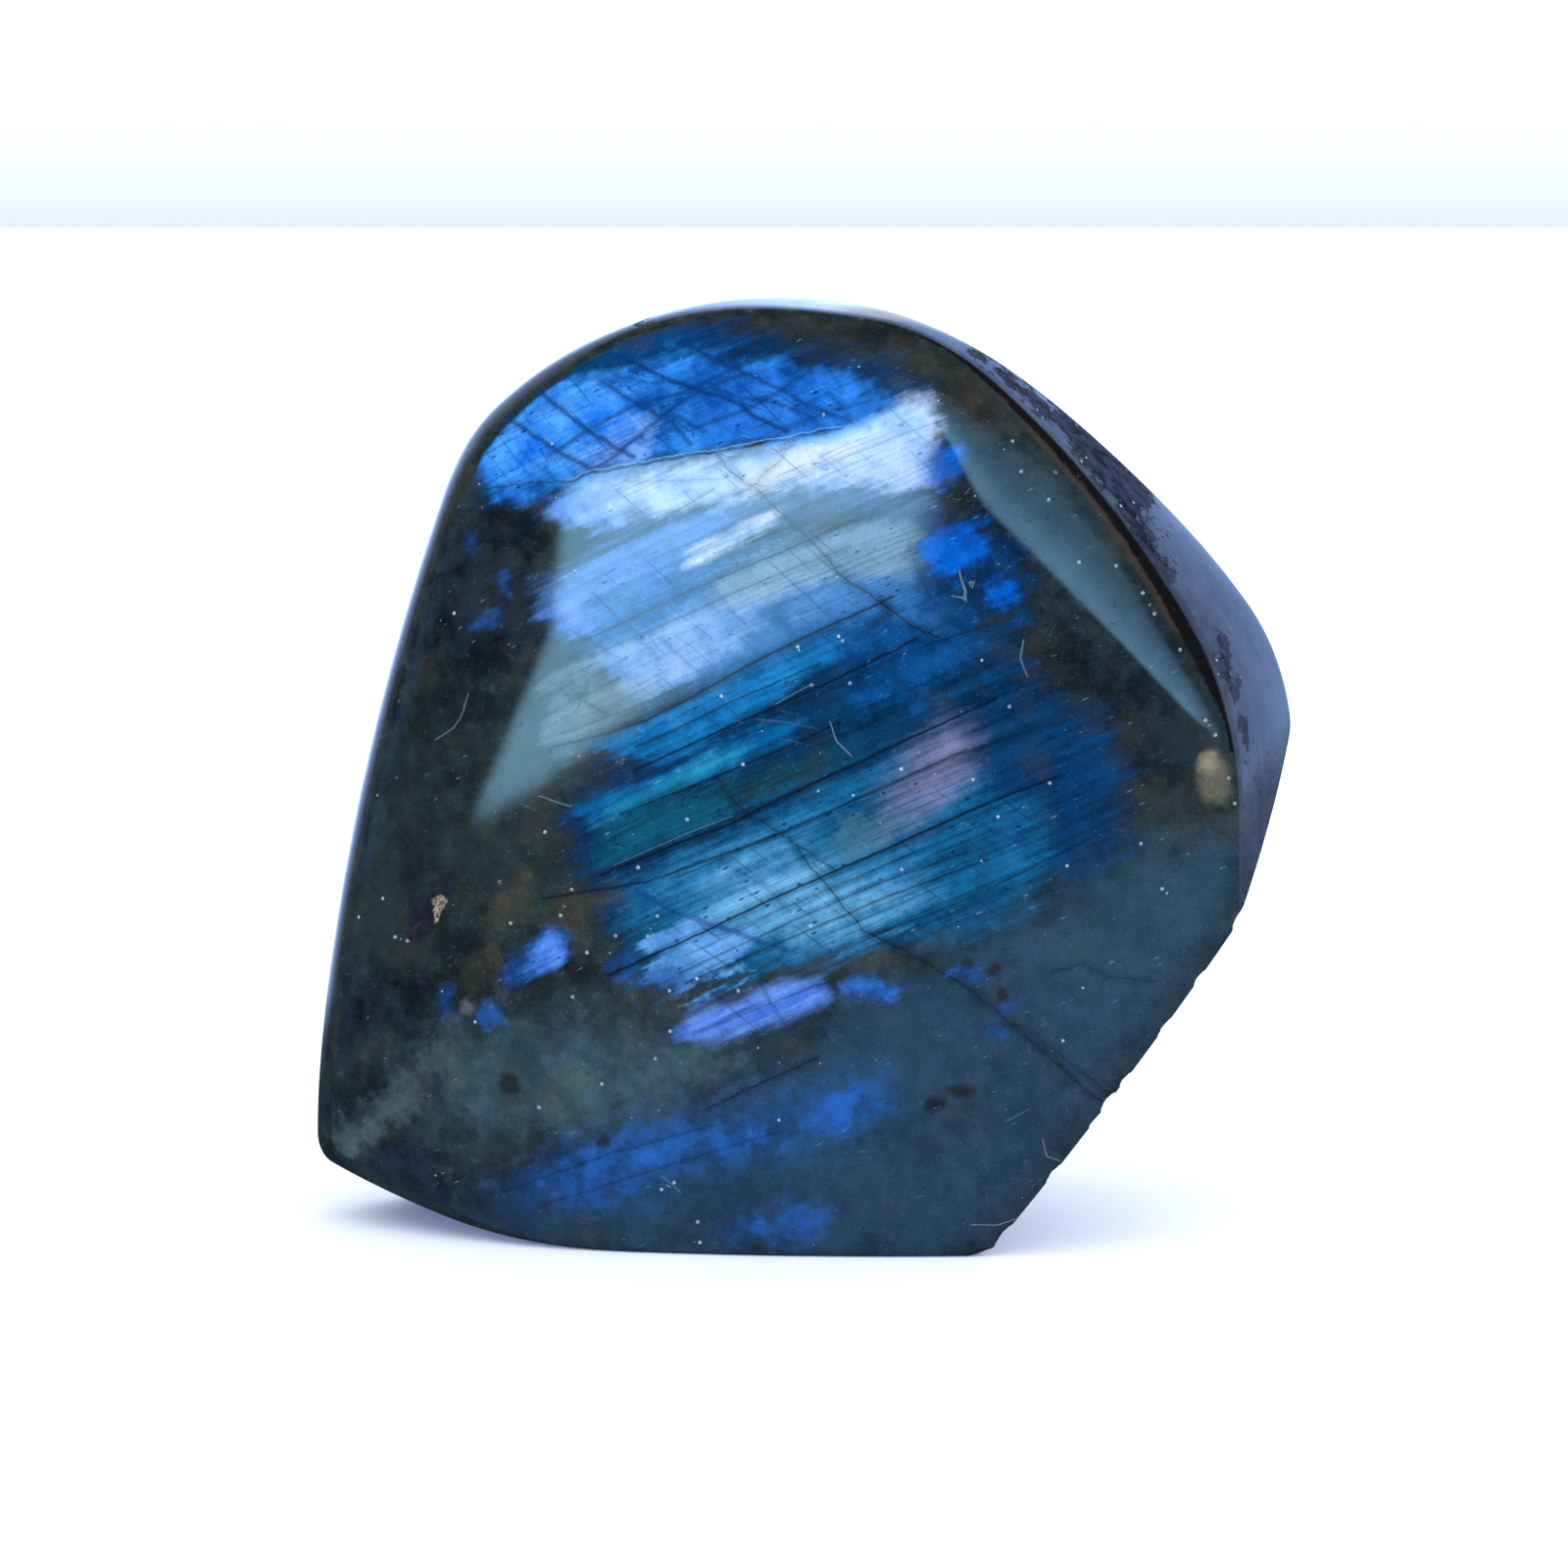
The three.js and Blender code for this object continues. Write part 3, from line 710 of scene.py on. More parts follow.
        (1222, 790), (1226, 770), (1240, 766), (1252, 784), (1256, 810), (1250, 822), (1230, 818),
        (1220, 806),
    ]]),
    ("yellow_core", 6, 2, 0.85, (112, 108, 88), (156, 148, 122), "cloud", [[
        (1221, 786), (1226, 772), (1237, 769), (1242, 780), (1235, 790),
    ]]),
    # partly a scuffed patch, partly painted reflection: its pale tone is also the fading lower end of the
    # window's reflection, laid into the colour
    ("scuffed", 12, 12, 0.55, (72, 96, 106), (136, 156, 166), "streak", [[
        (560, 690), (590, 676), (640, 690), (680, 712), (640, 736), (600, 752), (575, 780), (556, 740),
    ]]),
    ("slate_edge", 20, 12, 0.5, (28, 42, 52), (44, 58, 68), "cloud", [[
        (1290, 930), (1200, 1060), (1020, 1300), (975, 1290), (1100, 1120), (1190, 1010), (1240, 925),
    ]]),
    ("white_brown", 4, 2, 0.9, (84, 88, 92), (130, 132, 138), "cloud", [[
        (468, 1022), (476, 1016), (484, 1028), (480, 1036), (470, 1030),
    ]]),
    # painted highlight: the bright hot spot of the window's reflection, laid into the colour
    ("hot", 7, 3, 0.95, (104, 146, 190), (240, 240, 242), "streak", [[
        (698, 580), (704, 562), (722, 552), (742, 544), (770, 528), (798, 518), (790, 534), (760, 552),
        (722, 574),
    ]]),
]
INCLUSIONS = [
    [(614, 776), (620, 772), (624, 780), (618, 786)],
    [(624, 772), (632, 772), (634, 778), (627, 778)],
    [(508, 1104), (514, 1094), (528, 1098), (530, 1114), (518, 1120), (510, 1116)],
    [(936, 1134), (946, 1122), (960, 1120), (968, 1128), (950, 1136)],
    [(970, 1112), (984, 1108), (996, 1112), (990, 1120), (976, 1120)],
    [(1006, 990), (1014, 984), (1022, 986), (1020, 996), (1010, 996)],
    [(1018, 1008), (1026, 1010), (1028, 1020), (1020, 1022)],
    [(608, 1164), (616, 1154), (624, 1160), (622, 1170), (612, 1170)],
    [(980, 980), (990, 976), (994, 984), (986, 988)],
]
PIT_TAN = [
    (440, 941), (441, 928), (438, 918), (445, 914), (456, 919), (453, 927), (447, 927), (450, 935),
    (445, 942),
]
# the pit's own dark inside, with painted shade: the shadow below its lip
PIT_DARK_AND_SHADE = [
    (416, 960), (417, 934), (426, 916), (440, 908), (448, 895), (466, 892), (464, 908), (452, 918),
    (450, 938), (436, 956), (424, 962),
]
WALL_PATCHES = [
    [(986, 350), (1000, 356), (1030, 376), (1052, 398), (1060, 412), (1040, 404), (1010, 380), (988, 360)],
    [(1040, 398), (1070, 408), (1110, 432), (1150, 468), (1172, 494), (1178, 512), (1166, 524), (1180, 550),
     (1200, 584), (1192, 596), (1170, 572), (1140, 524), (1104, 474), (1076, 436), (1056, 416)],
    [(1234, 640), (1246, 648), (1260, 690), (1262, 712), (1252, 702), (1244, 680)],
    [(1266, 722), (1276, 744), (1273, 760), (1266, 746)],
    [(652, 333), (664, 326), (666, 331), (656, 337)],
]
WALL_PITS = [
    [(1262, 760), (1300, 760), (1290, 900), (1266, 900)],
    [(1090, 410), (1190, 500), (1210, 600), (1150, 560)],
]
# where the painted dark reflection along the rim may lie, in picture pixels
RIM_REFLECTION_REACH = [
    (930, 300), (1060, 360), (1300, 620), (1300, 770), (1150, 765), (1060, 560), (960, 400),
]
BROWN_REACH = [
    (990, 340), (1100, 400), (1260, 640), (1180, 660), (1060, 500),
]
LAYER_LINES = [
    ([(566, 762), (620, 748), (660, 735), (700, 714), (760, 681), (800, 660), (905, 612)], 1),
    ([(580, 746), (640, 724), (700, 699)], 0.6),
    ([(655, 783), (700, 762), (750, 739), (800, 717), (860, 690), (930, 654)], 0.95),
    ([(656, 759), (700, 739), (740, 719), (830, 680)], 0.7),
    ([(640, 828), (680, 812), (720, 798), (760, 780), (800, 764), (850, 740)], 0.8),
    ([(620, 890), (700, 857), (740, 843), (800, 813), (899, 767), (1010, 716)], 1),
    ([(560, 916), (660, 900), (740, 871), (800, 849), (860, 822), (980, 768)], 0.8),
    ([(690, 895), (800, 850), (880, 818)], 0.45),
    ([(628, 992), (720, 950), (795, 914), (900, 868), (1007, 820), (1080, 792)], 1),
    ([(740, 952), (830, 914), (920, 876)], 0.5),
    ([(700, 990), (800, 944), (900, 900), (980, 872)], 0.6),
    ([(707, 1000), (800, 960), (900, 917), (1000, 880)], 0.75),
    ([(900, 952), (1000, 912), (1103, 860)], 0.6),
    ([(600, 652), (650, 628), (700, 605), (850, 540)], 0.7),
    ([(606, 668), (680, 636), (760, 600), (860, 560)], 0.55),
    ([(548, 600), (640, 552), (722, 503)], 0.5),
    ([(690, 590), (780, 548), (870, 520)], 0.35),
    ([(770, 505), (850, 470), (940, 436)], 0.4),
    ([(715, 1052), (770, 1030), (838, 1004)], 0.5),
    ([(728, 1128), (780, 1104), (828, 1082)], 0.7),
    ([(520, 1214), (620, 1178), (720, 1150)], 0.4),
    ([(560, 1228), (680, 1190), (790, 1156)], 0.4),
    ([(1000, 640), (930, 664), (860, 694)], 0.5),
    ([(1060, 742), (980, 770), (900, 806)], 0.5),
    ([(1110, 806), (1040, 838), (960, 868)], 0.45),
]
CLEAVAGE_DOWN = [
    ([(520, 427), (560, 455), (602, 478)], 0.9),
    ([(555, 403), (600, 440), (640, 463)], 0.9),
    ([(612, 387), (655, 415), (685, 430), (700, 448)], 0.8),
    ([(637, 366), (680, 387), (710, 397), (757, 412), (770, 426), (797, 437)], 1),
    ([(695, 348), (740, 372), (797, 397), (820, 412), (868, 430)], 0.8),
    ([(602, 387), (625, 384), (670, 391)], 0.5),
    ([(680, 418), (700, 430), (714, 438)], 0.6),
    ([(730, 398), (752, 406), (790, 410), (828, 424)], 0.7),
    ([(842, 372), (856, 394)], 0.5),
    ([(848, 404), (862, 420), (882, 434)], 0.5),
    ([(536, 464), (556, 480)], 0.4),
    ([(610, 610), (640, 640), (668, 668)], 0.35),
    ([(660, 640), (700, 676), (720, 690)], 0.35),
    ([(720, 590), (760, 640), (790, 665)], 0.3),
    ([(655, 912), (690, 932), (725, 943), (795, 967)], 0.7),
    ([(740, 880), (780, 905), (800, 925)], 0.4),
    ([(905, 990), (950, 1020), (975, 1050)], 0.3),
    ([(1000, 840), (1040, 860), (1070, 880)], 0.5),
    ([(780, 1010), (790, 1030), (800, 1045)], 0.5),
]
CLEAVAGE_UP = [
    ([(562, 512), (590, 488), (606, 480)], 0.7),
    ([(565, 462), (595, 442), (635, 420), (670, 407), (700, 400), (748, 376)], 0.8),
    ([(612, 476), (640, 455), (667, 432), (692, 412), (717, 397), (752, 384)], 0.9),
    ([(660, 450), (695, 436)], 0.5),
    ([(712, 436), (755, 420), (782, 408), (822, 381)], 0.8),
    ([(800, 440), (830, 425), (860, 416), (882, 410)], 0.6),
    ([(520, 436), (560, 414), (600, 400)], 0.3),
]
CRACKS = [
    ([(733, 465), (745, 480), (757, 490), (771, 498), (785, 512), (800, 528), (833, 556), (850, 577),
      (870, 598), (890, 608), (905, 620), (930, 638), (960, 652)], 1),
    ([(771, 498), (781, 480), (797, 468), (812, 450)], 0.7),
    ([(645, 492), (700, 490), (745, 488), (771, 498)], 0.5),
    ([(960, 652), (1005, 676), (1050, 706), (1090, 728)], 0.4),
    ([(735, 800), (752, 822), (780, 840), (805, 855), (820, 875), (845, 905), (860, 925), (872, 935),
      (880, 948), (905, 962), (950, 985), (990, 1010), (1020, 1035), (1050, 1060), (1075, 1082),
      (1100, 1105), (1128, 1128)], 0.9),
    ([(800, 855), (825, 870), (848, 885)], 0.8),
    ([(1040, 1045), (1090, 1082), (1128, 1112), (1144, 1124)], 0.6),
    ([(505, 498), (550, 492), (587, 490), (600, 482), (640, 475), (690, 466), (740, 458), (800, 447),
      (850, 437)], 0.75),
    ([(1080, 990), (1105, 984), (1130, 995), (1168, 1001)], 0.6),
    ([(655, 1000), (662, 1026), (656, 1046)], 0.4),
    ([(930, 560), (934, 580), (948, 604)], 0.5),
    ([(558, 692), (574, 703), (594, 706)], 0.9),
    ([(580, 709), (598, 716), (614, 726)], 0.9),
    ([(596, 700), (584, 714)], 0.6),
    ([(587, 645), (610, 658), (630, 670)], 0.6),
]
FIBRES_AND_GLINTS = [
    ([(452, 750), (464, 742), (471, 730), (475, 717)], 0.7),
    ([(780, 735), (800, 737), (825, 742)], 0.12),
    # a painted glint: the faint pale line along a layer line
    ([(634, 880), (700, 851), (740, 836)], 0.2),
    ([(800, 714), (818, 704)], 0.2),
    ([(850, 746), (853, 756), (862, 765)], 0.9),
    ([(1043, 662), (1041, 672), (1045, 682)], 0.7),
    ([(981, 592), (984, 606), (990, 602)], 0.8),
    ([(992, 600), (988, 612), (980, 610)], 0.7),
    ([(1066, 1172), (1068, 1180), (1074, 1182)], 0.8),
    ([(1034, 1140), (1042, 1136)], 0.4),
    ([(682, 1206), (688, 1211)], 0.6),
    ([(560, 816), (572, 820)], 0.3),
    ([(1000, 1250), (1018, 1250), (1030, 1246)], 0.9),
]
FLECKS = [
    (1254, 794), (1230, 735), (1240, 750), (1204, 663), (688, 1207), (675, 1214), (671, 935), (669, 1080),
    (684, 1052), (614, 1106), (550, 1130), (683, 1011), (416, 960), (403, 956), (584, 1017), (840, 423),
    (572, 934), (556, 849), (651, 885), (583, 908), (701, 836), (758, 780), (1164, 861), (1186, 907),
    (1260, 820), (1139, 577), (1166, 605), (1178, 626), (510, 900), (521, 942), (628, 955), (661, 955),
    (599, 972), (712, 1247), (1077, 482), (1042, 481), (1101, 574), (1033, 450), (1070, 510), (814, 660),
    (860, 654), (828, 699), (867, 697), (993, 795), (1071, 799), (1030, 721), (920, 887), (753, 1011),
    (827, 945),
]
# zones that the back has too, as seen from behind
BACK_ZONES = {
    "dim": [(470, 760), (760, 640), (1060, 560), (1120, 800), (900, 960), (620, 1010), (460, 900)],
    "top_flash": [(590, 520), (760, 470), (960, 440), (1000, 500), (860, 570), (700, 600), (600, 590)],
    "lower_flash": [(620, 860), (800, 780), (930, 760), (900, 860), (720, 930)],
    "teal_band": [(640, 700), (860, 620), (960, 640), (820, 720), (680, 770)],
    "slate": [(700, 1050), (1050, 950), (1230, 980), (1040, 1240), (700, 1270)],
    "browns": [(420, 1060), (520, 1000), (560, 1060), (480, 1120)],
}
FLASHES = (
    "top_flash", "veil_white", "middle_flash", "upper_band",
    "teal_band", "lower_flash", "streak", "left_spark",
)
# line sets; the layers are dealt out to three, because a point keeps only the nearest line of a set
LINE_SETS = {
    "layers": LAYER_LINES[0::3],
    "layers_second": LAYER_LINES[1::3],
    "layers_third": LAYER_LINES[2::3],
    "cleavage_down": CLEAVAGE_DOWN,
    "cleavage_up": CLEAVAGE_UP,
    "cracks": CRACKS,
    "fibres_and_glints": FIBRES_AND_GLINTS,
}
FAR = 90.0
HIDDEN = 130.0
LINE_REACH = 60.0
FLECK_NEAR, FLECK_FAR = 8.0, 10.0
TURNING_BACK = 0.25
RIM_DEPTH, RIM_HEIGHT = 6.0, 2.0
WALL_FROM = 0.05


def keep(name, values):
    """Keep a number or three for each vertex, for the material."""
    kind, slot = ("FLOAT_VECTOR", "vector") if values.ndim == 2 else ("FLOAT", "value")
    attribute = mesh.attributes.new(name, kind, "POINT")
    attribute.data.foreach_set(slot, np.ascontiguousarray(values, dtype=np.float32).ravel())


def outlines_field(points, outlines, hidden):
    """How far inside the outlines each point lies, less where it is hidden."""
    field = np.max([inside_outline(points, outline) for outline in outlines], 0)
    return np.clip(field, -FAR, FAR) - hidden * HIDDEN


def zone_field(outlines, back_outline=None):
    field = outlines_field(seen, outlines, 1 - front_share)
    if back_outline is None:
        return field
    return np.maximum(field, outlines_field(seen_from_behind, [back_outline], 1 - back_share))


def line_field(points, lines):
    """For each point the signed offset from the nearest line, its distance, and that line's strength."""
    nearest = np.full(len(points), LINE_REACH)
    offset = np.full(len(points), LINE_REACH)
    power = np.zeros(len(points))
    for corners, strength in lines:
        corners = np.array(corners, float)
        for a, b in zip(corners, corners[1:]):
            along = b - a
            length = np.linalg.norm(along)
            along /= length
            way = (points - a) @ along
            side = (points - a) @ np.array([-along[1], along[0]])
            past = np.maximum(np.maximum(-way, way - length), 0)
            far = np.hypot(side, past)
            closer = far < nearest
            nearest = np.where(closer, far, nearest)
            offset = np.where(closer, side, offset)
            power = np.where(closer, strength, power)
    return np.stack([offset, nearest, power * front_share], -1)


def fleck_field(points):
    """For each point its offset across and down from the nearest fleck, and 1 where that fleck is near."""
    offsets = points[:, None] - np.array(FLECKS, float)
    far = np.linalg.norm(offsets, axis=-1)
    near = np.clip((FLECK_FAR - far.min(1)) / (FLECK_FAR - FLECK_NEAR), 0, 1)
    return np.column_stack([offsets[np.arange(len(points)), far.argmin(1)], near * front_share])


mesh = bpy.data.meshes.new("stone")
mesh.from_pydata(((worn(vertices) + shift) * MM).tolist(), [], faces)
mesh.update()
stone = bpy.data.objects.new("polished_stone", mesh)
bpy.context.scene.collection.objects.link(stone)
mesh.polygons.foreach_set("use_smooth", [True] * len(mesh.polygons))

seen_from_behind = np.stack([PICTURE - seen_x, seen_y], -1)
for name, *_, outlines in ZONES:
    keep(name, zone_field(outlines, BACK_ZONES.get(name)))
for name, outlines in (("inclusions", INCLUSIONS), ("pit_tan", [PIT_TAN]), ("pit_dark_and_shade", [PIT_DARK_AND_SHADE])):
    keep(name, zone_field(outlines))
flash_outlines = [outline for name, *_, outlines in ZONES if name in FLASHES for outline in outlines]
keep("flash", zone_field(flash_outlines, BACK_ZONES["lower_flash"]))
facing_back = np.clip(normals[:, 1] / TURNING_BACK, 0, 1)
rim_outline = np.stack(in_picture(grid[FRONT_RINGS - 1, ::4]), -1)
for name, outline, hidden in (
    ("rim_reflection_reach", RIM_REFLECTION_REACH, facing_back),
    ("brown_reach", BROWN_REACH, facing_back),
    ("from_rim", rim_outline, 0),
):
    keep(name, outlines_field(seen, [outline], hidden))
side_distance = group_distance(vertices, side_faces)
beyond_rim = side_distance - group_distance(vertices, front_faces)
beyond_back_edge = side_distance - group_distance(vertices, back_faces)
rim = np.clip(np.minimum(beyond_rim, beyond_back_edge), -RIM_DEPTH, RIM_HEIGHT)
keep("rim", rim)
off_wall = 1 - np.clip(rim / WALL_FROM, 0, 1)
keep("wall_patches", outlines_field(seen, WALL_PATCHES, off_wall))
keep("wall_pits", outlines_field(seen, WALL_PITS, off_wall))
for name, lines in LINE_SETS.items():
    keep(name, line_field(seen, lines))
keep("flecks", fleck_field(seen))

# material
LAMELLA, LAMELLA_LEAN = math.radians(24), 0.25
CLEAVAGE, CLEAVAGE_LEAN = math.radians(-36), -0.2
INWARD_SHARE = 0.3
LIGHT_ON_FRONT = 1.2
REFRACTION = 1.56
POLISH_ROUGH = 0.07
# what haze, the walls, the rough patches and the inclusions add to that
HAZE_ROUGH, WALL_ROUGH, PATCH_ROUGH, INCLUSION_ROUGH = 0.06, 0.12, 0.4, 0.35
SHINE, SHINE_LOST = 0.25, 0.23
BUMP_STRENGTH = 0.5
BUMP_DISTANCE = 0.04 * MM
# what cracks, scratches and rough patches add to the height, where a line of the fibres and glints is 1
CRACK_HEIGHT, SCRATCH_HEIGHT, PATCH_HEIGHT = -0.1, -0.25, 9.0
# noises: scale per mm, detail and roughness
NOISES = {
    "bend": (0.12, 2.0, 0.55),
    "cloud": (0.16, 5.0, 0.62),
    "patch": (0.5, 2.0, 0.5),
    "haze": (0.5, 4.0, 0.6),
    "cloud_fine": (0.7, 5.0, 0.65),
    "waviness": (0.9, 4.0, 0.6),
    "fine": (1.3, 4.0, 0.6),
    "relief": (2.4, 5.0, 0.65),
    "pits": (3.0, 3.0, 0.6),
    "grain": (5.5, 3.0, 0.7),
}
# noises drawn out along the layers: scales along and across them, detail and roughness
LAYER_NOISES = {
    "broad": (0.045, 0.75, 4.0, 0.55),
    "narrow": (0.1, 2.6, 3.0, 0.6),
    "strands": (0.14, 1.0, 4.0, 0.6),
    "hairs": (0.5, 3.2, 3.0, 0.6),
    "dash": (0.9, 6.0, 2.0, 0.5),
}
# patterns: the noises that each is made of, with their shares, and where it turns from dark to light
PATTERNS = {
    "cloud": ({"cloud": 0.55, "cloud_fine": 0.45}, 0.38, 0.62),
    "streak": ({"broad": 0.35, "narrow": 0.3, "patch": 0.15, "fine": 0.2}, 0.37, 0.63),
    "cell": ({"patch": 0.25, "blocks": 0.25, "fine": 0.25, "broad": 0.25}, 0.37, 0.63),
}
# edges: the noises that move them, in pixels, and what evens that out
RAGGED = {"broad": 3.6, "patch": 4.4, "fine": 3.6}
LAYERED = {"broad": 2.4, "strands": 5.6, "hairs": 2.8, "fine": 0.8}
EVEN = 5.8
HALO_WIDTH = 9.0
LINE_ENDS = (7.0, 12.0)
WALL_RAMP = (-0.04, 0.12)
# lines of a set: half their width, how far they wave, and the strength of the shade beside them
DRAWN = {
    "layers": (2.6, 3.0, 0.35),
    "layers_second": (2.4, 3.0, 0.35),
    "layers_third": (2.4, 3.0, 0.35),
    "cleavage_down": (4.2, 7.0, 0.5),
    "cleavage_up": (4.0, 6.0, 0.5),
    "cracks": (1.6, 9.0, 0.45),
    "fibres_and_glints": (1.0, 2.0, 0.0),
}
CRACK_GROOVES = (2.4, 8.0, 0.0)
# lines that repeat: their spacing, half width and waver in mm, and a start of their own
SPACED = {
    "thin_layers": (0.42, 0.05, 0.8, 3.0),
    "thick_layers": (1.7, 0.16, 1.0, 8.0),
    "thin_cleavage": (1.15, 0.1, 1.2, 5.0),
    "scratches_down": (1.7, 0.03, 3.0, 9.0),
    "scratches_up": (2.3, 0.03, 4.0, 2.0),
}
BODY_DARK, BODY_LIGHT = (22, 32, 35), (42, 58, 60)
# coats: red, green and blue from 0 to 255, and how strongly each is laid on
COATS = {
    "body_warm": (58, 58, 52, 0.6),
    "body_deep": (16, 26, 40, 0.7),
    "body_pale": (62, 82, 84, 0.5),
    "stain": (58, 60, 54, 0.3),
    "dark_grain": (6, 22, 40, 0.5),
    "pale_grain": (170, 200, 230, 0.15),
    "thin_layers": (8, 40, 84, 0.5),
    "thick_layers": (6, 40, 74, 0.4),
    "thin_cleavage": (8, 38, 84, 0.5),
    "layers": (6, 22, 40, 0.85),
    "cleavage_down": (6, 52, 112, 0.8),
    "cleavage_up": (6, 52, 112, 0.75),
    "cracks": (14, 26, 30, 0.75),
    "inclusions": (16, 18, 22, 0.8),
    "pit_tan": (176, 162, 146, 1.0),
    "ticks": (8, 38, 84, 0.8),
    "dust": (200, 214, 222, 0.8),
    "glint_dashes": (150, 176, 190, 0.45),
    "fibres_and_glints": (160, 176, 186, 0.4),
    "flecks": (200, 212, 222, 0.75),
    "brown": (72, 56, 46, 0.6),
    "glints": (220, 226, 240, 0.9),
}
# coats between two tones: the dark one, the light one and the strength
MIXED_COATS = {
    "pit_dark_and_shade": ((4, 6, 12), (52, 54, 68), 0.9),
    # a painted dark reflection along the inside of the rim
    "band": ((6, 7, 10), (24, 22, 22), 0.94),
    "slate": ((58, 70, 92), (78, 92, 118), 0.75),
    "rough": ((16, 20, 36), (56, 62, 88), 0.9),
}


def colour(red, green, blue):
    """A linear colour that shows as these 0 to 255 values in the light that falls on the front."""
    linear = [c / 255 / 12.92 if c <= 10 else ((c / 255 + 0.055) / 1.055) ** 2.4 for c in (red, green, blue)]
    return (*(c / LIGHT_ON_FRONT for c in linear), 1.0)


class Nodes:
    """Short calls for a node tree."""

    def __init__(self, tree):
        self.tree = tree

    def new(self, kind, **settings):
        node = self.tree.nodes.new(kind)
        for key, value in settings.items():
            setattr(node, key, value)
        return node

    def put(self, socket, value):
        if isinstance(value, bpy.types.NodeSocket):
            self.tree.links.new(value, socket)
        else:
            socket.default_value = value

    def math(self, operation, *values):
        node = self.new("ShaderNodeMath", operation=operation)
        for socket, value in zip(node.inputs, values):
            self.put(socket, value)
        return node.outputs[0]

    def times(self, *values):
        product = values[0]
        for value in values[1:]:
            product = self.math("MULTIPLY", product, value)
        return product

    def plus(self, *values):
        total = values[0]
        for value in values[1:]:
            total = self.math("ADD", total, value)
        return total

    def less(self, first, second):
        return self.math("SUBTRACT", first, second)

    def most(self, first, second):
        return self.math("MAXIMUM", first, second)

    def scaled(self, value, factor, start):
        return self.math("MULTIPLY_ADD", value, factor, start)

    def field(self, name):
        return self.new("ShaderNodeAttribute", attribute_name=name).outputs["Fac"]

    def split(self, vector):
        node = self.new("ShaderNodeSeparateXYZ")
        self.put(node.inputs[0], vector)
        return node.outputs

    def vector_field(self, name):
        return self.split(self.new("ShaderNodeAttribute", attribute_name=name).outputs["Vector"])

    def combine(self, x, y, z):
        node = self.new("ShaderNodeCombineXYZ")
        for socket, value in zip(node.inputs, (x, y, z)):
            self.put(socket, value)
        return node.outputs[0]

    def noise(self, vector, scale, detail, rough=0.55):
        node = self.new("ShaderNodeTexNoise")
        self.put(node.inputs["Vector"], vector)
        for key, value in (("Scale", scale), ("Detail", detail), ("Roughness", rough)):
            node.inputs[key].default_value = value
        return node.outputs["Fac"]

    def cells(self, vector, scale):
        """The distance from the middle of each cell of a scatter, and two chance numbers for the cell."""
        node = self.new("ShaderNodeTexVoronoi")
        self.put(node.inputs["Vector"], vector)
        node.inputs["Scale"].default_value = scale
        first, second, _ = self.split(node.outputs["Color"])
        return node.outputs["Distance"], first, second

    def step(self, value, low, high):
        node = self.new("ShaderNodeMapRange", interpolation_type="SMOOTHSTEP")
        for key, item in (("Value", value), ("From Min", low), ("From Max", high)):
            self.put(node.inputs[key], item)
        return node.outputs[0]

    def fall(self, value, low, high):
        return self.less(1.0, self.step(value, low, high))

    def mix(self, share, first, second):
        node = self.new("ShaderNodeMix", data_type="RGBA")
        for slot, value in ((0, share), (6, first), (7, second)):
            self.put(node.inputs[slot], value)
        return node.outputs[2]


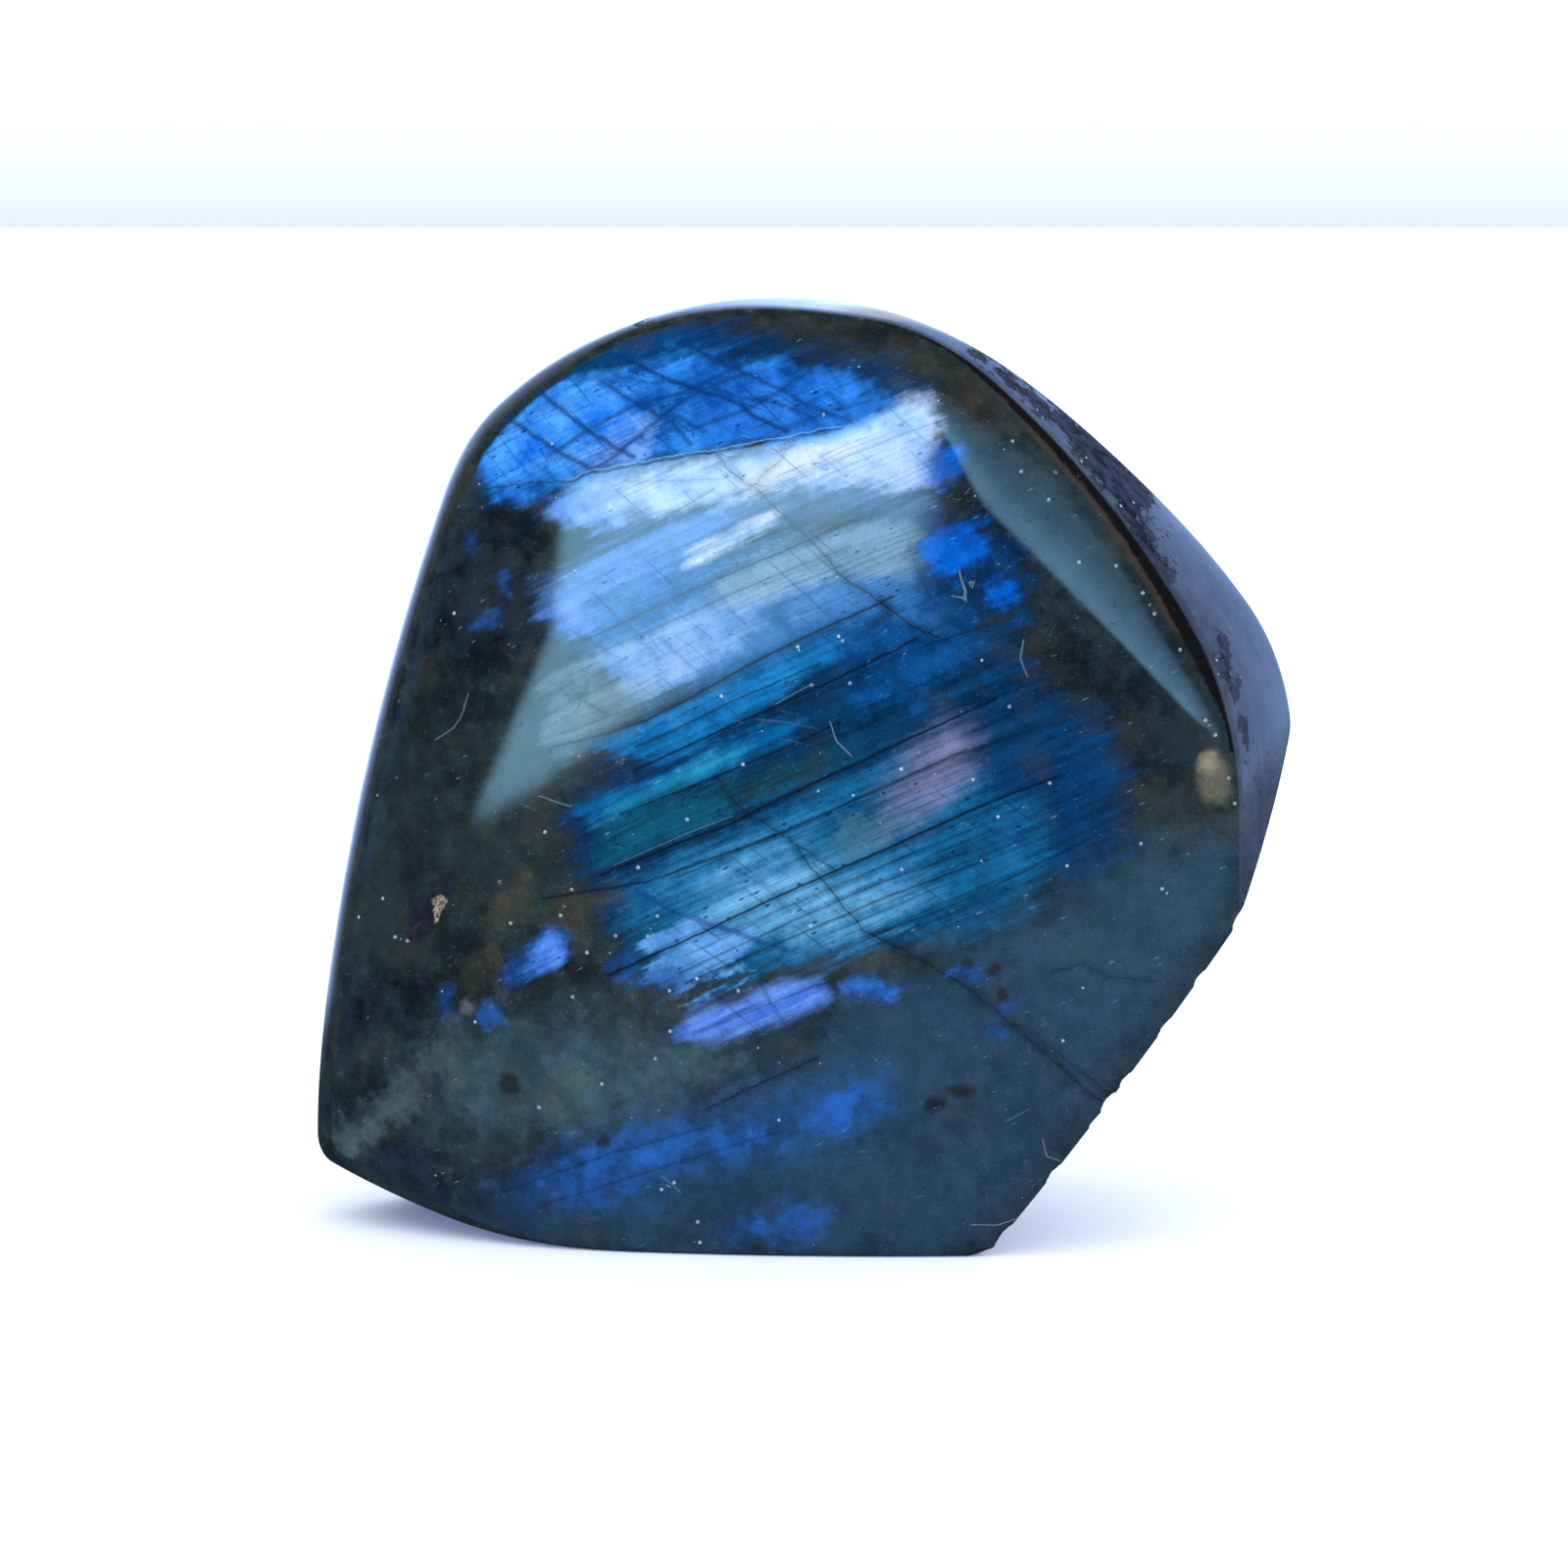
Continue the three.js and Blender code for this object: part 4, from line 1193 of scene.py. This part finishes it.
def stone_material():
    material = bpy.data.materials.new("polished_labradorite")
    material.use_nodes = True
    tree = material.node_tree
    tree.nodes.clear()
    n = Nodes(tree)
    place = n.new("ShaderNodeMapping")
    n.put(place.inputs["Vector"], n.new("ShaderNodeTexCoord").outputs["Object"])
    place.inputs["Scale"].default_value = (1 / MM, 1 / MM, 1 / MM)
    spot_mm = place.outputs[0]
    x, y, z = n.split(spot_mm)

    def turned(angle, lean):
        """Lengths along and across layers that cut the front at an angle."""
        along = n.plus(n.times(x, math.cos(angle)), n.times(z, math.sin(angle)))
        across = n.less(n.times(z, math.cos(angle)), n.times(x, math.sin(angle)))
        return along, n.plus(across, n.times(y, lean))

    def stretched(first, second, scale_first, scale_second, third):
        return n.combine(n.times(first, scale_first), n.times(second, scale_second), third)

    along, across = turned(LAMELLA, LAMELLA_LEAN)
    _, over = turned(CLEAVAGE, CLEAVAGE_LEAN)
    depth = n.times(y, INWARD_SHARE)
    noises = {"blocks": n.noise(stretched(over, along, 0.5, 0.16, depth), 1.0, 2.0, 0.5)}

    def noise(name):
        """A noise of the tables, made where it is first used, because few values can be held at a time."""
        if name in LAYER_NOISES and name not in noises:
            scale_along, scale_across, detail, rough = LAYER_NOISES[name]
            place = stretched(along, across, scale_along, scale_across, depth)
            noises[name] = n.noise(place, 1.0, detail, rough)
        elif name not in noises:
            noises[name] = n.noise(spot_mm, *NOISES[name])
        return noises[name]

    def blend(shares):
        return n.plus(*(n.times(noise(name), share) for name, share in shares.items()))

    patterns = {name: n.step(blend(shares), low, high) for name, (shares, low, high) in PATTERNS.items()}
    ragged, layered = n.less(blend(RAGGED), EVEN), n.less(blend(LAYERED), EVEN)
    edges = {"cloud": ragged, "streak": layered, "cell": n.plus(n.times(layered, 0.7), n.times(ragged, 0.5))}

    def region(name, soft, rag, edge=ragged):
        return n.step(n.scaled(edge, rag, n.field(name)), -soft, soft)

    def spaced_lines(name, value):
        """Thin lines across value, unevenly spaced."""
        spacing, half_width, waver, start = SPACED[name]
        bent = n.scaled(n.less(noise("bend"), 0.5), waver, value)
        node = n.new("ShaderNodeTexVoronoi", voronoi_dimensions="1D", feature="DISTANCE_TO_EDGE")
        n.put(node.inputs["W"], n.scaled(bent, 1 / spacing, start))
        node.inputs["Scale"].default_value = 1.0
        return n.fall(n.times(node.outputs["Distance"], spacing), 0.0, half_width)

    waviness = n.less(noise("waviness"), 0.5)

    def drawn_lines(name, drawing):
        """Lines of a set, with a soft shade at both sides."""
        half_width, wave, halo = drawing
        offset, distance, power = n.vector_field(name)
        wavy = n.math("ABSOLUTE", n.scaled(waviness, wave, offset))
        line = n.fall(wavy, 0.25 * half_width, half_width)
        if halo:
            line = n.most(line, n.times(n.fall(wavy, 0.0, HALO_WIDTH), halo))
        return n.times(line, power, n.fall(distance, *LINE_ENDS))

    # body and zones
    paint = n.mix(patterns["cloud"], colour(*BODY_DARK), colour(*BODY_LIGHT))

    def lay(tone, *shares):
        """Lay a tone over the paint, as strongly as the product of shares."""
        nonlocal paint
        paint = n.mix(n.times(*shares), paint, tone)

    def coat(name, *shares):
        *tone, strength = COATS[name]
        lay(colour(*tone), *shares, strength)

    def mixed_coat(name, between, *shares):
        dark, light, strength = MIXED_COATS[name]
        lay(n.mix(between, colour(*dark), colour(*light)), *shares, strength)

    warm = n.noise(n.combine(z, y, n.plus(x, 20.0)), 0.22, 5.0, 0.65)
    deep = n.noise(n.combine(n.plus(y, 31.0), x, z), 0.3, 5.0, 0.65)
    fine, grain, cloud_fine = noise("fine"), noise("grain"), noise("cloud_fine")
    coat("body_warm", n.step(warm, 0.5, 0.68))
    coat("body_deep", n.step(deep, 0.54, 0.7))
    coat("body_pale", n.step(cloud_fine, 0.55, 0.75))
    for name, soft, rag, strength, dark, light, pattern, _ in ZONES:
        tone = n.mix(patterns[pattern], colour(*dark), colour(*light))
        lay(tone, region(name, soft, rag, edges[pattern]), strength)
    coat("stain", n.step(warm, 0.52, 0.7), n.fall(n.field("flash"), -10.0, 20.0))
    coat("dark_grain", n.step(grain, 0.46, 0.24))
    coat("pale_grain", n.step(grain, 0.6, 0.8))

    # layers, cleavage and cracks
    flash = region("flash", 12.0, 10.0, layered)
    broken = n.step(n.noise(stretched(along, across, 0.07, 0.6, 3.0), 1.0, 2.0), 0.42, 0.62)
    broken_too = n.step(n.noise(stretched(over, along, 0.12, 0.5, 7.0), 1.0, 2.0), 0.45, 0.65)
    for name, value, where in (
        ("thin_layers", across, broken),
        ("thick_layers", across, broken_too),
        ("thin_cleavage", over, broken_too),
    ):
        coat(name, spaced_lines(name, value), where, flash)
    layer_lines = n.most(*(drawn_lines(name, DRAWN[name]) for name in ("layers", "layers_second")))
    coat("layers", n.most(layer_lines, drawn_lines("layers_third", DRAWN["layers_third"])))
    for name in ("cleavage_down", "cleavage_up", "cracks"):
        coat(name, drawn_lines(name, DRAWN[name]))

    # inclusions, dots and dust, with painted shade in the pit and painted glints among the dashes and fibres
    coat("inclusions", region("inclusions", 4.0, 3.0))
    # the pit's dark colour together with painted shade in the hollow
    mixed_coat("pit_dark_and_shade", fine, region("pit_dark_and_shade", 4.0, 2.0))
    coat("pit_tan", region("pit_tan", 1.5, 1.0), n.step(grain, 0.4, 0.55))
    reach, pick, chance = n.cells(stretched(along, across, 0.5, 1.1, n.times(y, 0.8)), 1.7)
    size = n.scaled(chance, 0.16, 0.08)
    coat("ticks", n.fall(reach, n.times(size, 0.5), size), n.step(pick, 0.35, 0.4), flash)
    reach, pick, chance = n.cells(spot_mm, 0.8)
    size = n.scaled(n.math("POWER", chance, 4.0), 0.085, 0.035)
    coat("dust", n.fall(reach, n.times(size, 0.6), size), n.step(pick, 0.4, 0.45))
    # painted glints: short pale dashes along the layers
    coat("glint_dashes", n.step(noise("dash"), 0.69, 0.74), n.step(fine, 0.5, 0.62))
    # lint fibres, and one painted glint line
    fibre_and_glint = drawn_lines("fibres_and_glints", DRAWN["fibres_and_glints"])
    coat("fibres_and_glints", fibre_and_glint)
    fleck_x, fleck_y, fleck_near = n.vector_field("flecks")
    fleck_reach = n.plus(n.times(fleck_x, fleck_x), n.times(fleck_y, fleck_y))
    coat("flecks", n.fall(fleck_reach, 0.5, 6.0), fleck_near, n.step(grain, 0.3, 0.62))

    # rim with its painted dark reflection, walls and rough patches
    wall = n.step(n.field("rim"), *WALL_RAMP)
    # painted reflection: a dark band just inside the rim stands for the rounded edge mirroring dark
    # surroundings
    from_rim = n.scaled(waviness, 6.0, n.field("from_rim"))
    rim_reflection_width = n.scaled(n.step(n.field("rim_reflection_reach"), 20.0, 90.0), 10.0, 3.0)
    band = n.times(n.fall(n.less(from_rim, rim_reflection_width), -2.0, 1.5), n.step(n.field("rim_reflection_reach"), -6.0, 6.0))
    mixed_coat("band", fine, band, n.less(1.0, wall))
    beside_rim_reflection = n.math("ABSOLUTE", n.less(from_rim, n.plus(rim_reflection_width, 2.0)))
    coat("brown", n.fall(beside_rim_reflection, 1.0, 4.5), n.step(n.field("brown_reach"), -10.0, 20.0))
    mixed_coat("slate", patterns["cloud"], wall, n.step(x, -4.0, 6.0), n.step(z, 12.0, 18.0))
    patches = n.step(n.scaled(n.less(cloud_fine, 0.5), 60.0, n.field("wall_patches")), -2.0, 3.0)
    pits = n.times(n.step(noise("pits"), 0.62, 0.68), n.step(n.field("wall_pits"), -10.0, 10.0))
    rough_wall = n.most(patches, pits)
    mixed_coat("rough", n.step(cloud_fine, 0.4, 0.6), rough_wall)
    # painted glints: white highlight specks in the rough patches, laid into the colour
    reach, pick, chance = n.cells(stretched(n.less(x, z), n.plus(x, z), 0.9, 1.6, y), 1.1)
    glint = n.fall(reach, 0.08, n.scaled(chance, 0.14, 0.1))
    coat("glints", glint, n.step(pick, 0.62, 0.66), patches)

    # polish and relief
    shader = n.new("ShaderNodeBsdfPrincipled")
    n.put(shader.inputs["Base Color"], paint)
    shader.inputs["IOR"].default_value = REFRACTION
    rough = n.scaled(n.step(noise("haze"), 0.45, 0.75), HAZE_ROUGH, POLISH_ROUGH)
    rough = n.scaled(wall, WALL_ROUGH, rough)
    rough = n.scaled(rough_wall, PATCH_ROUGH, rough)
    rough = n.scaled(region("inclusions", 3.0, 5.0), INCLUSION_ROUGH, rough)
    n.put(shader.inputs["Roughness"], rough)
    dull = n.most(rough_wall, region("pit_dark_and_shade", 3.0, 2.0))
    n.put(shader.inputs["Specular IOR Level"], n.scaled(dull, -SHINE_LOST, SHINE))
    scratches_down = spaced_lines("scratches_down", n.scaled(x, 0.35, z))
    scratches_up = spaced_lines("scratches_up", n.scaled(z, -0.6, x))
    scratches = n.times(n.most(scratches_down, scratches_up), n.step(fine, 0.55, 0.65))
    height = n.scaled(drawn_lines("cracks", CRACK_GROOVES), CRACK_HEIGHT, fibre_and_glint)
    height = n.scaled(scratches, SCRATCH_HEIGHT, height)
    height = n.scaled(n.times(rough_wall, noise("relief")), PATCH_HEIGHT, height)
    bump = n.new("ShaderNodeBump")
    n.put(bump.inputs["Height"], height)
    bump.inputs["Strength"].default_value = BUMP_STRENGTH
    bump.inputs["Distance"].default_value = BUMP_DISTANCE
    tree.links.new(bump.outputs[0], shader.inputs["Normal"])
    tree.links.new(shader.outputs[0], n.new("ShaderNodeOutputMaterial").inputs[0])
    return material


mesh.materials.append(stone_material())
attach(stone, "root")
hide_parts(NODE)

# stage
FLOOR_REACH = 3.0
FLOOR_WHITE = (0.88, 0.91, 0.98, 1)
FLOOR_GLOW = (0.11, 0.15, 0.27, 1)
WHITE = (1.0, 1.0, 1.0)
# where each light comes from, its spread in degrees and its strength
SUNS = {
    "front_light": ((-0.1, -0.9, 0.9), 100, 2.2),
    "top_light": ((0.1, 0.1, 1.0), 120, 1.7),
    "right_light": ((1.0, 0.2, 0.9), 100, 0.9),
}
# picture lines that the reflections of the window and of the strip run between, and how they fade: the share
# of the way from the first line to the last, then the glow at the left end and at the right end
CARD_CELLS = 40
WINDOW_LINES = (
    [(572, 492), (610, 480), (700, 466), (850, 442), (953, 402)],
    [(556, 648), (620, 620), (700, 586), (780, 558), (880, 524), (957, 497)],
    [(470, 852), (540, 818), (600, 775), (650, 742), (720, 706), (800, 668), (905, 616), (958, 592)],
)
WINDOW_FADES = [
    (0.0, 1.0, 1.3), (0.15, 1.0, 1.2), (0.35, 0.95, 0.85), (0.6, 0.9, 0.4), (0.8, 0.95, 0.2),
    (0.93, 0.95, 0.1), (1.0, 0.0, 0.0),
]
STRIP_LINES = (
    [
        (912, 392), (933, 412), (955, 428), (968, 452), (982, 482), (1003, 518), (1052, 566), (1102, 616),
        (1152, 666), (1204, 720), (1238, 752),
    ],
    [
        (944, 390), (968, 408), (1000, 432), (1040, 458), (1066, 476), (1092, 506), (1128, 550), (1162, 608),
        (1194, 662), (1226, 712), (1246, 758),
    ],
)
STRIP_FADES = [
    (0.0, 0.0, 0.0), (0.07, 0.95, 0.7), (0.16, 0.95, 0.95), (0.3, 0.55, 0.95), (0.45, 0.3, 0.8),
    (0.8, 0.12, 0.5), (0.95, 0.1, 0.35), (1.0, 0.0, 0.0),
]
# far cards, in metres
FAR_CARD = 0.5
FAR_CARD_RISE = 0.03

floor_mesh = bpy.data.meshes.new("floor")
floor_corners = [(x * FLOOR_REACH, y * FLOOR_REACH, 0) for x, y in ((-1, -1), (1, -1), (1, 1), (-1, 1))]
floor_mesh.from_pydata(floor_corners, [], [(0, 1, 2, 3)])
floor = bpy.data.objects.new("floor", floor_mesh)
floor_material = bpy.data.materials.new("pale_floor")
floor_material.use_nodes = True
floor_shader = floor_material.node_tree.nodes["Principled BSDF"]
floor_shader.inputs["Base Color"].default_value = FLOOR_WHITE
floor_shader.inputs["Roughness"].default_value = 0.6
floor_shader.inputs["Specular IOR Level"].default_value = 0.0
floor_shader.inputs["Emission Color"].default_value = FLOOR_GLOW
floor_shader.inputs["Emission Strength"].default_value = 1.0
floor_mesh.materials.append(floor_material)
bpy.context.scene.collection.objects.link(floor)
floor.visible_glossy = False

for name, (toward, spread, strength) in SUNS.items():
    sun_data = bpy.data.lights.new(name, "SUN")
    sun_data.angle = math.radians(spread)
    sun_data.energy = strength
    sun_data.color = WHITE
    sun = bpy.data.objects.new(name, sun_data)
    sun.rotation_euler = (-Vector(toward)).to_track_quat("-Z", "Y").to_euler()
    sun.visible_glossy = False
    bpy.context.scene.collection.objects.link(sun)


def glowing_card(name, corners, quads, glow, strength, tint):
    """A sheet with a glow at each corner, kept out of sight, so that only reflections show it."""
    material = bpy.data.materials.new(name)
    material.use_nodes = True
    material.node_tree.nodes.clear()
    n = Nodes(material.node_tree)
    emission = n.new("ShaderNodeEmission")
    n.put(emission.inputs["Strength"], n.times(n.field("glow"), strength))
    emission.inputs["Color"].default_value = tint
    n.put(n.new("ShaderNodeOutputMaterial").inputs[0], emission.outputs[0])
    data = bpy.data.meshes.new(name)
    data.from_pydata(corners, [], quads)
    data.attributes.new("glow", "FLOAT", "POINT").data.foreach_set("value", np.array(glow, np.float32))
    data.materials.append(material)
    made = bpy.data.objects.new(name, data)
    bpy.context.scene.collection.objects.link(made)
    made.visible_diffuse = False
    made.visible_camera = False
    made.visible_shadow = False


def reflected_card(name, lines, distance, strength, fades, end_fade, tint):
    """A card whose reflection in the front fills the picture from the first line to the last.

    end_fade is the share that dims at both ends.
    """
    count = CARD_CELLS + 1
    way = np.linspace(0, 1, count)
    evened = []
    for line in lines:
        line = np.array(line, float)
        length = np.concatenate([[0], np.cumsum(np.linalg.norm(np.diff(line, axis=0), axis=1))])
        evened.append([np.interp(way * length[-1], length, line[:, k]) for k in (0, 1)])
    shares = np.linspace(0, 1, len(lines))
    picture = [
        np.transpose([np.interp(way, shares, column) for column in axis.T])
        for axis in np.array(evened).swapaxes(0, 1)
    ]
    points = front_points(*picture)
    tilt = normals_of(points)
    rays = points - eye
    rays /= np.linalg.norm(rays, axis=-1, keepdims=True)
    bounced = rays - 2 * (rays * tilt).sum(-1, keepdims=True) * tilt
    corners = (points + bounced * distance + shift).reshape(-1, 3) * MM
    quads = [
        (r * count + c, r * count + c + 1, (r + 1) * count + c + 1, (r + 1) * count + c)
        for r in range(CARD_CELLS)
        for c in range(CARD_CELLS)
    ]
    left, right = (np.interp(way, [f[0] for f in fades], [f[k] for f in fades])[:, None] for k in (1, 2))
    glow = (left * (1 - way) + right * way) * np.clip(np.minimum(way, 1 - way) / end_fade, 0, 1)
    glowing_card(name, corners.tolist(), quads, glow.ravel(), strength, tint)


def far_card(name, turns, rises, tint, glow_left):
    """A card far behind the stone, between two turns from the view and two rises, in degrees."""
    corners = []
    for rise in np.radians(rises):
        for turn in np.radians(turns):
            away = (math.sin(turn) * math.cos(rise), math.cos(turn) * math.cos(rise), math.sin(rise))
            corners.append((FAR_CARD * away[0], FAR_CARD * away[1], FAR_CARD * away[2] + FAR_CARD_RISE))
    glowing_card(name, corners, [(0, 1, 3, 2)], [glow_left, 1.0, glow_left, 1.0], 1.0, tint)


reflected_card("window_card", WINDOW_LINES, 420.0, 14.0, WINDOW_FADES, 0.035, (0.34, 0.72, 1.0, 1))
reflected_card("strip_card", STRIP_LINES, 300.0, 10.0, STRIP_FADES, 0.08, (0.28, 0.64, 1.0, 1))
far_card("wall_card", (7.0, 62.0), (-4.0, 48.0), (0.36, 0.6, 1.18, 1), 1.0)
far_card("rim_card", (-60.0, 3.0), (-8.0, 50.0), (2.0, 2.8, 5.0, 1), 0.0)

WORLD_DARK = (0.02, 0.035, 0.05, 1)
WORLD_PALE = (1.0, 1.1, 1.3, 1)
world = bpy.data.worlds.new("studio")
bpy.context.scene.world = world
world.use_nodes = True
world.node_tree.nodes.clear()
w = Nodes(world.node_tree)
_, north, up = w.split(w.new("ShaderNodeTexCoord").outputs["Generated"])
background = w.new("ShaderNodeBackground")
behind = w.times(w.step(north, 0.3, 0.9), w.step(up, -0.1, 0.02))
w.put(background.inputs["Color"], w.mix(behind, WORLD_DARK, WORLD_PALE))
background.inputs["Strength"].default_value = 1.1
w.put(w.new("ShaderNodeOutputWorld").inputs[0], background.outputs[0])

# camera
camera_data = bpy.data.cameras.new("camera")
camera_data.sensor_width = SENSOR
camera_data.lens = SENSOR * DISTANCE * PIXELS_PER_MM / PICTURE
camera = bpy.data.objects.new("camera", camera_data)
camera.location = (eye + shift) * MM
camera.rotation_euler = (math.pi / 2 - LOOK_DOWN, 0, 0)
bpy.context.scene.collection.objects.link(camera)
bpy.context.scene.camera = camera
bpy.context.scene.view_settings.view_transform = "Standard"
